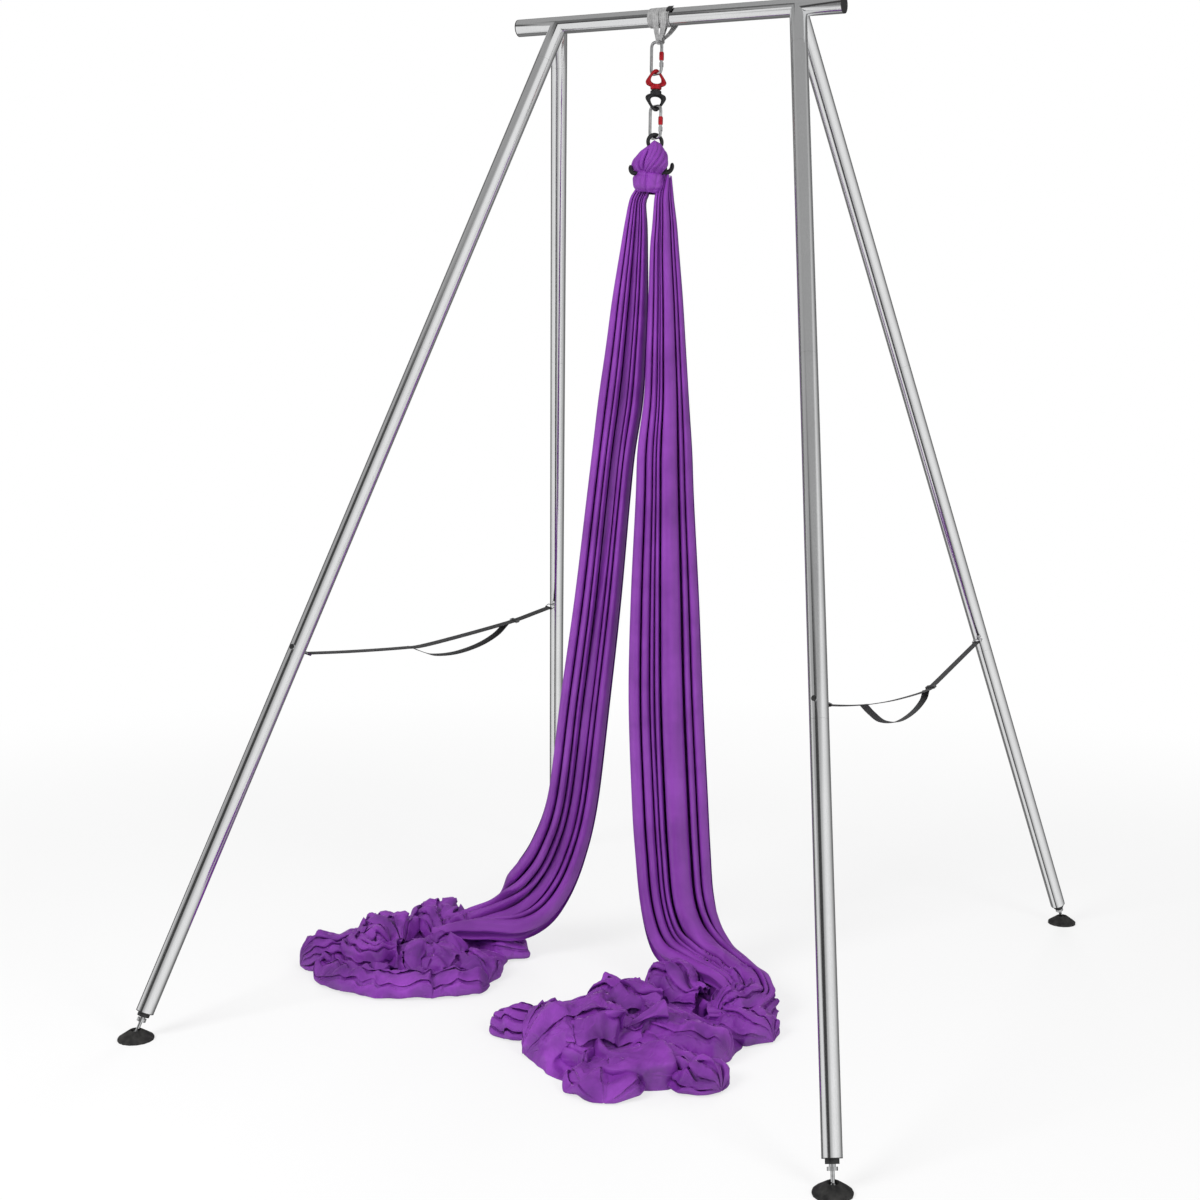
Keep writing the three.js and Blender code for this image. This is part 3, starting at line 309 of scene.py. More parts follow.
webbing_weave, group_in, group_out = effect_group(
    "webbing weave", [("Across", "NodeSocketFloat"), ("Along", "NodeSocketFloat")], ["Weave", "Tone"])
own_map = webbing_weave.nodes.new("ShaderNodeUVMap")
own_map.uv_map = "cloth"
threads = []
for direction, socket_name in (("X", "Across"), ("Y", "Along")):
    thread_wave = webbing_weave.nodes.new("ShaderNodeTexWave")
    thread_wave.bands_direction = direction
    thread_wave.inputs["Distortion"].default_value = 0.6
    webbing_weave.links.new(group_in.outputs[socket_name], thread_wave.inputs["Scale"])
    webbing_weave.links.new(own_map.outputs["UV"], thread_wave.inputs["Vector"])
    threads.append(thread_wave.outputs["Fac"])
weave = joined(webbing_weave.nodes, webbing_weave.links, "MULTIPLY", threads[0], threads[1])
fuzz_place = object_place(webbing_weave.nodes, webbing_weave.links, (90, 90, 90))
fuzz = noise_of(webbing_weave.nodes, webbing_weave.links, fuzz_place, 1.0, 5.0)
tone = joined(webbing_weave.nodes, webbing_weave.links, "MULTIPLY_ADD", weave, 0.55, fuzz)
webbing_weave.links.new(weave, group_out.inputs["Weave"])
webbing_weave.links.new(tone, group_out.inputs["Tone"])
PERIOD_AT_SCALE_ONE = 0.314


def webbing_finish(name, dark, light, thread=0.0016):
    """Ribbed webbing: rows of plain weave across and along the strap's own UV map."""
    finish, nodes, links, shader = new_finish(name)
    woven = placed(nodes, webbing_weave, {"Across": PERIOD_AT_SCALE_ONE / thread,
                                          "Along": PERIOD_AT_SCALE_ONE / (thread * 0.8)})
    colour = spread(nodes, links, woven.outputs["Tone"], 0.35, 1.0, dark, light)
    links.new(colour, shader.inputs["Base Color"])
    shader.inputs["Roughness"].default_value = 0.85
    shader.inputs["Sheen Weight"].default_value = 0.1
    shader.inputs["Sheen Roughness"].default_value = 0.5
    bumped(nodes, links, shader, woven.outputs["Weave"], 0.5, 0.0004)
    return finish


black_webbing = webbing_finish("black webbing", (0.004, 0.004, 0.0045), (0.016, 0.016, 0.018))
BAR_HEIGHT = 2.92
LEG_TOP, FOOT_X, FOOT_Y = 0.389, 1.042, 1.172
PIN_STATION, RING_FAR, EYE_OFFSET = 2.036, 0.055, 0.0035
WEB_WIDTH, WEB_THICKNESS = 0.023, 0.002


def leg_frame(side, end):
    """A leg's top, the way down it and the way towards its partner."""
    top = Vector((side * LEG_TOP, 0, BAR_HEIGHT))
    down = (Vector((side * FOOT_X, end * FOOT_Y, 0)) - top).normalized()
    inward = (Vector((0, -end, 0)) + down * (end * down.y)).normalized()
    return top, down, inward


def hanging_rows(start, end, drops):
    """Rows of place and width at shares of the way from start to end, each so many mm below it."""
    return [(*(start.lerp(end, share) - Vector((0, 0, drop / 1000))), WEB_WIDTH) for share, drop in drops]


strap_runs = {
    "left": {"side": -1,
             "main": [(0.12, 16), (0.25, 31), (0.35, 41), (0.42, 46), (0.6, 38), (0.79, 26), (0.86, 19),
                      (0.94, 8)],
             "slack": [(0.37, 42), (0.42, 66), (0.47, 84), (0.56, 92), (0.66, 82), (0.74, 58), (0.79, 26)]},
    "right": {"side": 1,
              "main": [(0.1, 22), (0.19, 39), (0.25, 49), (0.4, 68), (0.6, 83), (0.66, 76), (0.8, 45),
                       (0.92, 18)],
              "slack": [(0.2, 40), (0.25, 74), (0.32, 112), (0.42, 135), (0.52, 130), (0.59, 108),
                        (0.61, 82)]},
}
EYE_RADIUS, EYE_GAP, EYE_SPACING = 0.0035, 0.12, 0.0012
for side_name, run in strap_runs.items():
    eyes = []
    for end in (-1, 1):
        top, down, inward = leg_frame(run["side"], end)
        eyes.append(top + down * PIN_STATION + inward * RING_FAR)
    start_at = eyes[0] + Vector((0, EYE_OFFSET, 0))
    end_at = eyes[1] - Vector((0, EYE_OFFSET, 0))
    top, down, inward = leg_frame(run["side"], -1)
    wideways = np.array(down.cross(inward).normalized())
    main_rows = [(*start_at, WEB_WIDTH), *hanging_rows(start_at, end_at, run["main"]), (*end_at, WEB_WIDTH)]
    slack_rows = hanging_rows(start_at, end_at, run["slack"])
    strap = web_strip(f"strap_{side_name}_web", main_rows, WEB_THICKNESS, black_webbing, wideways)
    slack = web_strip(f"strap_slack_{side_name}_web", slack_rows, WEB_THICKNESS, black_webbing, wideways)
    for piece, node_name in ((strap, f"strap_{side_name}"), (slack, f"strap_slack_{side_name}")):
        closed_ends(piece)
        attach(piece, "frame")
        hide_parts(node_name)
    for eye, way, end_name in ((eyes[0], 1, "front"), (eyes[1], -1, "back")):
        turns = np.linspace(EYE_GAP, 2 * math.pi - EYE_GAP, 20)
        ring_rows = [(eye.x, eye.y + way * EYE_RADIUS * math.cos(turn), eye.z + EYE_RADIUS * math.sin(turn),
                      WEB_WIDTH) for turn in turns]
        loop = web_strip(f"strap_eye_{side_name}_{end_name}", ring_rows, WEB_THICKNESS, black_webbing,
                         wideways, EYE_SPACING)
        closed_ends(loop)
        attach(loop, "frame")
    dress(f"strap_buckle_{side_name}", bright_steel)

# Sling: grey flat webbing turned round the crossbar. Two loops hang from it and pass under the top
# of the upper carabiner, and a patch sewn with dark thread closes it at the right.

grey_webbing = webbing_finish("grey webbing", (0.2, 0.2, 0.2), (0.4, 0.4, 0.4), 0.0022)
SLING_X, WRAP_INNER, WRAP_PROUD = -0.058, 0.0256, 0.0011
sling_turns = ((-0.066, 0.024, 0.0), (-0.044, 0.025, 0.0006), (-0.021, 0.025, 0.0002))
wrap_turns = []
for turn_number, (turn_x, turn_width, lift) in enumerate(sling_turns, 1):
    rows = [(turn_x + 0.002 * math.sin(angle), math.cos(angle) * (WRAP_INNER + WRAP_PROUD + lift),
             BAR_HEIGHT + math.sin(angle) * (WRAP_INNER + WRAP_PROUD + lift), turn_width)
            for angle in np.linspace(0, 2 * math.pi, 49)]
    turn_piece = web_strip(f"sling_turn_{turn_number}", rows, 0.002, grey_webbing, (1, 0, 0), 0.004)
    closed_ends(turn_piece)
    wrap_turns.append(turn_piece)
CHAIN_TOP, CARABINER_ROD = 2.857, 0.009
ROD_GAP, STRAND_HALF = 0.0003, 0.00125
bight = CHAIN_TOP - CARABINER_ROD - ROD_GAP - STRAND_HALF
around = CARABINER_ROD / 2 + ROD_GAP + STRAND_HALF


def half_loop(top_x, low_x, way):
    """One side of a loop, from the top of the crossbar down to the carabiner, narrowing as it bunches."""
    return [(top_x, way * 0.0150, BAR_HEIGHT + 0.0245, 0.0205),
            (top_x, way * 0.0275, BAR_HEIGHT + 0.010, 0.0205),
            (top_x, way * 0.0295, BAR_HEIGHT - 0.004, 0.0205),
            (top_x * 0.92 + low_x * 0.08, way * 0.0262, BAR_HEIGHT - 0.018, 0.0195),
            ((top_x + low_x) / 2, way * 0.0165, bight + around * 5.2, 0.0150),
            (low_x, way * around * 1.25, bight + around * 2.2, 0.0110),
            (low_x, way * around, bight + around * 0.9, 0.0100),
            (low_x, way * around * 0.6, bight + around * 0.25, 0.0095)]


sling_loops = ((-0.0500, -0.0085, -0.053, -0.040), (-0.0225, -0.0450, -0.043, -0.047))
strands = []
for strand_number, (front_x, back_x, low_front, low_back) in enumerate(sling_loops, 1):
    lowest = ((low_front + low_back) / 2, 0, bight, 0.0095)
    rows = [*half_loop(front_x, low_front, -1), lowest, *half_loop(back_x, low_back, 1)[::-1]]
    strand = web_strip(f"sling_strand_{strand_number}", rows, 0.0020, grey_webbing, (1, 0, 0), 0.003)
    closed_ends(strand)
    strands.append(strand)
PATCH_RADIUS = 0.0300
patch_rows = [(-0.0075, -math.cos(angle) * PATCH_RADIUS, BAR_HEIGHT + math.sin(angle) * PATCH_RADIUS, 0.017)
              for angle in np.linspace(0.35, 1.25, 9)]
patch = web_strip("sling_patch", patch_rows, 0.0018, black_webbing, (1, 0, 0), 0.003)
closed_ends(patch)
for piece in (*wrap_turns, *strands, patch):
    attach(piece, "frame")
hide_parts("sling")

# Hardware chain: two screw-lock carabiners of bright steel with red sleeves, a swivel with a red
# eye above and a black eye below, and a black figure-eight that carries the silk.

red_metal = metal_finish("red anodised metal", (0.33, 0.006, 0.012), (0.5, 0.014, 0.025), 0.2, 0.34,
                         (90, 90, 90), 0.55)
black_metal = metal_finish("black anodised metal", (0.01, 0.01, 0.011), (0.03, 0.03, 0.032), 0.22, 0.4,
                           (90, 90, 90), 0.4)
RING_TURN, EAR_TURN = math.radians(42), math.radians(43)
for place_name in ("upper", "lower"):
    dress(f"carabiner_{place_name}_body", bright_steel, 50)
    dress(f"carabiner_{place_name}_hinge_pin", bright_steel)
    dress(f"carabiner_{place_name}_gate", bright_steel)
    dress(f"carabiner_{place_name}_sleeve", red_metal)
dress("swivel_axle", bright_steel)


def turned_ring(name, middle_z, major, minor, stretch, finish):
    """A round rod closed into a ring that stands upright and is turned away from the crossbar."""
    bpy.ops.object.select_all(action="DESELECT")
    bpy.ops.mesh.primitive_torus_add(location=(SLING_X, 0, middle_z), rotation=(math.pi / 2, 0, RING_TURN),
                                     major_radius=major, minor_radius=minor, major_segments=64,
                                     minor_segments=24)
    ring = bpy.context.object
    ring.name = name
    ring.scale = (1, stretch, 1)
    bpy.ops.object.transform_apply(location=True, rotation=True, scale=True)
    ring.data.materials.append(finish)
    bpy.ops.object.shade_smooth()
    return ring


NARROWED, WIDENED, DEEPENED = 0.72, 1.85, 1.4


def pinched(ring, narrow_at, wide_at):
    """Draws a ring together towards one end and broadens it at the other, as on a forged eye."""
    for vertex in ring.data.vertices:
        share = min(max((vertex.co.z - narrow_at) / (wide_at - narrow_at), 0), 1)
        pull = NARROWED + (WIDENED - NARROWED) * share ** 2
        vertex.co.x = SLING_X + (vertex.co.x - SLING_X) * pull
        vertex.co.y = vertex.co.y * min(pull, DEEPENED)


def boss(name, z, height, radius, finish):
    """The thick round foot of an eye, with softened edges."""
    bpy.ops.object.select_all(action="DESELECT")
    bpy.ops.mesh.primitive_cylinder_add(vertices=48, radius=radius, depth=height, location=(SLING_X, 0, z))
    foot = bpy.context.object
    foot.name = name
    bpy.ops.object.mode_set(mode="EDIT")
    bpy.ops.mesh.select_all(action="SELECT")
    bpy.ops.mesh.bevel(offset=height * 0.22, segments=4, affect="EDGES")
    bpy.ops.object.mode_set(mode="OBJECT")
    bpy.ops.object.transform_apply(location=True, rotation=True, scale=True)
    foot.data.materials.append(finish)
    bpy.ops.object.shade_smooth_by_angle(angle=math.radians(40))
    return foot


def welded(pieces):
    """Several meshes made one, under the first one's name."""
    picked(pieces[0])
    for piece in pieces[1:]:
        piece.select_set(True)
    bpy.ops.object.join()
    return pieces[0]


SWIVEL_EYE, SWIVEL_FOOT = (0.0190, 0.0052, 1.10), (0.0150, 0.0165)
upper_eye = turned_ring("swivel_eye_red", 2.7490, *SWIVEL_EYE, red_metal)
pinched(upper_eye, 2.775, 2.7290)
upper_eye = welded([upper_eye, boss("swivel_foot_red", 2.7240, *SWIVEL_FOOT, red_metal)])
lower_eye = turned_ring("swivel_eye_black", 2.6810, *SWIVEL_EYE, black_metal)
pinched(lower_eye, 2.655, 2.7010)
lower_eye = welded([lower_eye, boss("swivel_foot_black", 2.7065, *SWIVEL_FOOT, black_metal)])


def ear(name, spots, finish):
    """A stout round arm whose rounded end turns up, from its root in the big ring to its tip."""
    curve = bpy.data.curves.new(name, "CURVE")
    curve.dimensions = "3D"
    curve.bevel_depth = 0.0062
    curve.bevel_resolution = 6
    curve.use_fill_caps = True
    spline = curve.splines.new("NURBS")
    spline.points.add(len(spots) - 1)
    for point, (sideways, z, thick) in zip(spline.points, spots):
        point.co = (SLING_X + sideways * math.cos(EAR_TURN), sideways * math.sin(EAR_TURN), z, 1)
        point.radius = thick
    spline.use_endpoint_u = True
    spline.order_u = 3
    spline.resolution_u = 8
    arm = bpy.data.objects.new(name, curve)
    bpy.context.scene.collection.objects.link(arm)
    picked(arm)
    bpy.ops.object.convert(target="MESH")
    arm = bpy.context.object
    arm.data.materials.append(finish)
    bpy.ops.object.shade_smooth()
    return arm


small_ring = turned_ring("figure_eight_rings", 2.5664, 0.0212, 0.0057, 1.0, black_metal)
big_ring = turned_ring("big_ring", 2.4840, 0.0350, 0.0055, 1.0, black_metal)
waist = boss("waist", 2.5330, 0.0260, 0.0075, black_metal)
left_ear = ear("left_ear", [(-0.034, 2.479, 1), (-0.050, 2.474, 1), (-0.066, 2.471, 1.05),
                            (-0.0735, 2.479, 1.05), (-0.0740, 2.491, 1), (-0.0735, 2.4945, 0.4)],
               black_metal)
right_ear = ear("right_ear", [(0.018, 2.476, 1.1), (0.032, 2.477, 1.15), (0.046, 2.484, 1.1),
                              (0.0545, 2.494, 1.05), (0.0550, 2.507, 1), (0.0545, 2.5105, 0.4)],
                black_metal)
figure_eight = welded([small_ring, big_ring, waist, left_ear, right_ear])
chain_pieces = ((upper_eye, "swivel_upper_eye", "frame", "red_metal"),
                (lower_eye, "swivel_lower_eye", "hanging", "black_metal"),
                (figure_eight, "figure_eight", "hanging", "black_metal"))
for piece, node_name, body_name, slot_name in chain_pieces:
    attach(piece, body_name)
    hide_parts(node_name)

# Silk: one long purple stretch-woven cloth, doubled over the figure-eight, gathered into pleats,
# hanging in two tails and lying heaped on the floor below each.


def ripple(across, along, seed, coarse):
    """A smooth random value from -1 to 1 over the cloth, the same on each run."""
    rng = np.random.default_rng(seed)
    total = np.zeros(np.broadcast(across, along).shape)
    for _ in range(5):
        f_across, f_along = rng.uniform(0.4, 1.6, 2) * coarse
        phase = 2 * math.pi * (across * f_across + along * f_along)
        total = total + np.sin(phase + rng.uniform(0, 2 * math.pi))
    return total / 3.2


def crumple(points, size, seed):
    """A smooth random shift of each point, with waves of about that size."""
    rng = np.random.default_rng(seed)
    shift = np.zeros_like(points)
    for _ in range(9):
        way = rng.normal(size=3)
        way *= rng.uniform(0.7, 1.5) / np.linalg.norm(way) / size
        push = rng.normal(size=3)
        push /= np.linalg.norm(push)
        wave = np.sin(2 * math.pi * (points @ way) + rng.uniform(0, 2 * math.pi))
        shift += wave[:, None] * push
    return shift / 3


def ridged(across, along, seed, coarse):
    """Sharp crests and smooth hollows, from 0 to 1, like creases in cloth."""
    return 1 - np.abs(ripple(across, along, seed, coarse)) ** 0.8


def settle(points, low=0.003, soft=0.008):
    """Cloth that would sink into the floor spreads just above it."""
    height = points[:, 2] - low
    eased_height = soft * np.log1p(np.exp(np.clip(height / soft, -30, 8.1)))
    points[:, 2] = low + np.where(height > 8 * soft, height, eased_height)
    return points


def pleated(name, rows, widths, crests, seed, columns, finish, cut_width, fine=0.1, spacing=0.012):
    """Gathered cloth along rows of x, y, z, half width, half depth, looseness and roll.

    A roll of 0 is for hung cloth and 1 for laid cloth.
    Each fold has its share of the width and the height of its crest. Crests are broad, and the gaps
    between them are narrow and deep."""
    line, stations = even_line(rows, spacing)
    centre = line[:, :3]
    tangent = np.gradient(centre, axis=0)
    tangent /= np.linalg.norm(tangent, axis=1)[:, None]
    roll = np.clip(line[:, 6], 0, 1)[:, None]
    facing = (1 - roll) * np.array([0.4, -0.917, 0]) + roll * np.array([0, 0, 1.0])
    across = np.cross(facing, tangent)
    across /= np.linalg.norm(across, axis=1)[:, None]
    for _ in range(12):
        across[1:-1] = (across[:-2] + across[1:-1] + across[2:]) / 3
        across /= np.linalg.norm(across, axis=1)[:, None]
    deep = np.cross(tangent, across)
    loose = np.clip(line[:, 5], 0, 1)[:, None]
    borders = np.concatenate([[0], np.cumsum(widths)]) / np.sum(widths)
    even = np.linspace(0, 1, 2001)
    rounding = np.hanning(141)
    counted = np.interp(even, borders, np.arange(len(borders)))
    counted = np.pad(counted, 70, mode="reflect", reflect_type="odd")
    counted = np.convolve(counted, rounding / rounding.sum(), "valid")
    local = 1 / np.gradient(counted, even)
    u = np.linspace(0, 1, columns)[None, :]
    s = stations[:, None]
    moved = u + (0.028 + 0.05 * loose) * np.sin(math.pi * u) * ripple(u, s * (0.35 + loose), seed, 1.1)
    fold = np.interp(moved, even, counted)
    width = np.interp(moved, even, local)
    side = 2 * (moved + 3.6 * width / (4 * math.pi) * np.sin(4 * math.pi * fold)) - 1
    crest = np.interp(fold, np.arange(len(crests)) + 0.5, crests)
    crest = crest + 0.10 * ripple(fold * 0.4, s * 0.4, seed + 3, 1.0)
    wave = -np.cos(2 * math.pi * fold)
    wave = np.where(wave > 0, wave * crest, wave)
    small_folds = np.sin(2 * math.pi * 2.6 * fold + 2.6 * ripple(u, s * 0.3, seed + 4, 1.5))
    wave = wave + fine * (1 + 0.8 * loose) * small_folds * (0.6 + 0.4 * ripple(u, s * 0.5, seed + 5, 2.0))
    swell = np.sqrt(np.clip(1 - (0.92 * side) ** 2, 0.06, 1))
    grid = centre[:, None, :] + across[:, None, :] * (side * line[:, 3][:, None])[..., None] \
        + deep[:, None, :] * (wave * swell * line[:, 4][:, None])[..., None]
    flat = grid.reshape(-1, 3)
    amount = np.repeat(loose.ravel(), columns)[:, None]
    flat = flat + amount * (0.010 * crumple(flat, 0.18, seed + 8) + 0.005 * crumple(flat, 0.08, seed + 9))
    grid = settle(flat).reshape(grid.shape)
    return skin(name, grid[:, ::-1], cut_width, stations[-1], finish)


def folded_over(x, y, seed, folds):
    """Shifts in x, y and z that lay crumpled folds into cloth, with sharp crests that lean over."""
    rng = np.random.default_rng(seed)
    shift = np.zeros((3, *x.shape))
    for length, height, turns in folds:
        way = rng.uniform(0, 2 * math.pi)
        for turn in range(turns):
            cos_way, sin_way = math.cos(way + 1.4 * turn), math.sin(way + 1.4 * turn)
            bend = ripple(x, y, int(rng.integers(1000000)), 0.38 / length)
            patchy = ripple(x, y, int(rng.integers(1000000)), 0.3 / length)
            strength = np.clip(0.45 + 0.95 * patchy, 0, 1)
            phase = 2 * math.pi * (x * cos_way + y * sin_way) / length + 2.6 * bend + rng.uniform(0, 6)
            flank = np.arcsin(0.9 * np.sin(phase)) / math.asin(0.9) * strength
            shift[0] += cos_way * 0.2 * length * flank
            shift[1] += sin_way * 0.2 * length * flank
            shift[2] += height * flank
    return shift


def heaped(name, middle, radius, shares, height, seed, finish):
    """The middle of a heap of cloth on the floor, with folds that lean over one another."""
    rings, sides = 150, 300
    reach = np.linspace(0.004, 1, rings)[:, None]
    turn = np.linspace(0, 2 * math.pi, sides, endpoint=False)[None, :]
    spots = turn / (2 * math.pi) * len(shares)
    low = np.floor(spots).astype(int) % len(shares)
    part = spots - np.floor(spots)
    part = part * part * (3 - 2 * part)
    shares = np.array(shares)
    rim = shares[low] * (1 - part) + shares[(low + 1) % len(shares)] * part
    x = middle[0] + np.cos(turn) * radius * rim * reach
    y = middle[1] + np.sin(turn) * radius * rim * reach
    crown = np.sqrt(np.clip(1 - reach ** 4, 0, 1)) + 0 * turn
    shift = folded_over(x, y, seed, ((0.30, 0.030, 2), (0.17, 0.022, 2), (0.09, 0.010, 1)))
    large_creases = 0.012 * (ridged(x, y, seed + 5, 5.0) - 0.5)
    shift[2] += large_creases + 0.006 * (ridged(0.4 * x, y, seed + 6, 16.0) - 0.5)
    fade = np.clip(crown * 1.2, 0.15, 1)
    z = height * (0.72 + 0.28 * ripple(x, y, seed + 7, 2.0)) * crown + shift[2] * fade
    grid = np.stack([x + shift[0] * fade, y + shift[1] * fade, z], axis=2)
    flat = grid.reshape(-1, 3)
    flat = flat + 0.004 * crumple(flat, 0.06, seed + 9)
    grid = settle(flat, 0.002, 0.004).reshape(grid.shape)
    grid = np.concatenate([grid, grid[-1:] * np.array([1, 1, 0]) + np.array([0, 0, 0.0015])])
    piece = skin(name, grid[::-1], 1.5, 1.0, finish, round_closed=True)
    picked(piece)
    bpy.ops.object.mode_set(mode="EDIT")
    bpy.ops.mesh.select_all(action="DESELECT")
    bpy.ops.object.mode_set(mode="OBJECT")
    hub = rings * sides
    for vertex in piece.data.vertices[hub:hub + sides]:
        vertex.select = True
    bpy.ops.object.mode_set(mode="EDIT")
    bpy.ops.mesh.select_mode(type="VERT")
    bpy.ops.mesh.merge(type="CENTER")
    bpy.ops.mesh.select_all(action="SELECT")
    bpy.ops.mesh.normals_make_consistent(inside=False)
    bpy.ops.object.mode_set(mode="OBJECT")
    return piece


def lobe(name, path, half_width, height, pleats, depths, seed, finish):
    """One lobe of a heap: gathered at its root, it swells, lies down and turns under at its rim."""
    line, stations = even_line([(*spot, 0) for spot in path], 0.006)
    centre = line[:, :2]
    tangent = np.gradient(centre, axis=0)
    tangent /= np.linalg.norm(tangent, axis=1)[:, None]
    across = np.column_stack([tangent[:, 1], -tangent[:, 0]])
    total = stations[-1]
    s = stations[:, None]
    share = s / total
    tip = np.clip((s - (total - half_width)) / half_width, 0, 0.9995)
    narrow = np.sqrt(1 - tip ** 2)
    u = np.linspace(-1, 1, 110)[None, :]
    moved = u + 0.10 * np.cos(math.pi * u / 2) * ripple(u, s * 2.5, seed, 1.2)
    fold = pleats * (moved + 1) / 2
    angle = 1.95 * (moved + 2 / pleats * 3.2 / (4 * math.pi) * np.sin(4 * math.pi * fold))
    depth = depths[0] * (1 - share) + depths[1] * share
    crest = 1.35 * depth * (-np.cos(2 * math.pi * fold)) * (0.7 + 0.3 * ripple(u, s * 3, seed + 1, 1.5))
    fine = 0.4 * depth * np.sin(5.2 * math.pi * fold + 2 * ripple(u, s * 3, seed + 2, 1.6))
    creased = 1 - 2 * np.abs(np.sin(2.6 * math.pi * fold + 4 * ripple(u, s * 4, seed + 7, 1.6)))
    round_out = 1 + crest + fine + 0.05 * creased * np.clip(0.5 + ripple(u, s * 3, seed + 8, 1.4), 0, 1)
    root = np.clip(share / 0.45, 0, 1)
    root = 0.3 + 0.7 * root * root * (3 - 2 * root)
    wide = half_width * narrow * root * (1 + 0.12 * ripple(share, 0 * share, seed + 3, 2.0))
    uneven = 1 + 0.14 * ripple(share, 0 * share, seed + 4, 1.7)
    tall = height * narrow ** 0.8 * (0.55 + 0.45 * root) * uneven
    offset = np.sin(angle) * wide * round_out
    x = centre[:, 0][:, None] + across[:, 0][:, None] * offset
    y = centre[:, 1][:, None] + across[:, 1][:, None] * offset
    z = 0.004 + tall * (np.cos(angle) * round_out + 0.36) / 1.36
    shift = folded_over(x, y, seed + 5, ((0.14, 0.012, 1), (0.07, 0.008, 2)))
    high = np.clip(z / 0.03, 0, 1)
    sharp = 0.004 * (ridged(x, y, seed + 6, 6.0) - 0.5)
    grid = np.stack([x + 0.35 * shift[0], y + 0.35 * shift[1], z + (shift[2] + sharp) * high], axis=2)
    flat = grid.reshape(-1, 3)
    flat = flat + 0.005 * crumple(flat, 0.09, seed + 6)
    return skin(name, settle(flat, 0.002, 0.004).reshape(grid.shape), 0.5, total, finish)


# The silk folds group gives the relief of the creases and pressed folds, and a tone that paints shade into
# them.
silk_folds, group_in, group_out = effect_group(
    "silk folds", [("Fold Scale", "NodeSocketFloat"), ("Wrinkle Scale", "NodeSocketFloat"),
                   ("Fold Depth", "NodeSocketFloat"), ("Painted Fold Shade", "NodeSocketFloat")],
    ["Tone", "Creases", "Relief"])
silk_nodes, silk_links = silk_folds.nodes, silk_folds.links


def own_place(stretch):
    """The cloth's own UV map, in metres, scaled across and along."""
    own = silk_nodes.new("ShaderNodeUVMap")
    own.uv_map = "cloth"
    mapping = silk_nodes.new("ShaderNodeMapping")
    mapping.inputs["Scale"].default_value = stretch
    silk_links.new(own.outputs["UV"], mapping.inputs["Vector"])
    return mapping.outputs["Vector"]


def pressed_folds(scale, detail, distortion, stretch):
    """Sharp folds pressed into the cloth."""
    noise = silk_nodes.new("ShaderNodeTexNoise")
    noise.noise_type = "RIDGED_MULTIFRACTAL"
    noise.inputs["Detail"].default_value = detail
    noise.inputs["Distortion"].default_value = distortion
    silk_links.new(scale, noise.inputs["Scale"])
    silk_links.new(object_place(silk_nodes, silk_links, stretch), noise.inputs["Vector"])
    return noise.outputs["Fac"]


creases = noise_of(silk_nodes, silk_links, own_place((30, 2.6, 1)), 1.0, 4.0)
knit = noise_of(silk_nodes, silk_links, own_place((900, 900, 1)), 1.0, 2.0)
faded = noise_of(silk_nodes, silk_links, object_place(silk_nodes, silk_links, (9, 9, 9)), 1.0, 3.0)
broad = pressed_folds(group_in.outputs["Fold Scale"], 3.0, 1.1, (0.45, 1, 1))
narrow = pressed_folds(group_in.outputs["Wrinkle Scale"], 2.0, 1.6, (1, 0.35, 1))
wrinkled = joined(silk_nodes, silk_links, "MULTIPLY_ADD", narrow, 0.42, broad)
# Tone is partly painted shade and painted highlight: darker where the creases and pressed folds sink, lighter
# on their crests; the faded noise adds random tone.
tone = joined(silk_nodes, silk_links, "MULTIPLY_ADD", creases, 0.5, faded)
tone = joined(silk_nodes, silk_links, "MULTIPLY_ADD", wrinkled, group_in.outputs["Painted Fold Shade"], tone)
relief = joined(silk_nodes, silk_links, "MULTIPLY_ADD", knit, 0.04, creases)
relief = joined(silk_nodes, silk_links, "MULTIPLY_ADD", wrinkled, group_in.outputs["Fold Depth"], relief)
for socket_name, value in (("Tone", tone), ("Creases", creases), ("Relief", relief)):
    silk_links.new(value, group_out.inputs[socket_name])


def silk_finish(name, folds, deep_folds, groove_painted_shade_colour, crest_painted_highlight_colour):
    """Satin-faced stretch cloth: fine knit, soft creases along its length and pressed folds. Its colour holds
    painted shade and painted highlight: darker down in the creases and pressed folds, lighter on their
    crests, over a random fading tone.
    """
    finish, nodes, links, shader = new_finish(name)
    painted_fold_shade = 0.125 * deep_folds
    folded = placed(nodes, silk_folds, {"Fold Scale": folds, "Wrinkle Scale": 2.6 * folds,
                                        "Fold Depth": deep_folds, "Painted Fold Shade": painted_fold_shade})
    # The colour ramp runs from painted shade in the grooves to painted highlight on the crests.
    colour = spread(nodes, links, folded.outputs["Tone"], 0.48, 0.95 + painted_fold_shade, groove_painted_shade_colour, crest_painted_highlight_colour)
    links.new(colour, shader.inputs["Base Color"])
    roughness = ranged(nodes, links, folded.outputs["Creases"], 0.34, 0.5)
    links.new(roughness, shader.inputs["Roughness"])
    shader.inputs["Sheen Weight"].default_value = 0.3
    shader.inputs["Sheen Roughness"].default_value = 0.3
    shader.inputs["Sheen Tint"].default_value = (0.8, 0.35, 1, 1)
    shader.inputs["Specular IOR Level"].default_value = 0.6
    bumped(nodes, links, shader, folded.outputs["Relief"], 0.6, 0.004)
    return finish


# Both silks darken their creases with painted shade; the laid silk also paints shade into its pressed folds
# and highlight on their crests.
silk_cloth = silk_finish("hanging purple silk", 5.0, 0.0, (0.155, 0.021, 0.255), (0.245, 0.042, 0.39))
silk_laid = silk_finish("laid purple silk", 10.0, 3.6, (0.10, 0.012, 0.185), (0.275, 0.046, 0.44))

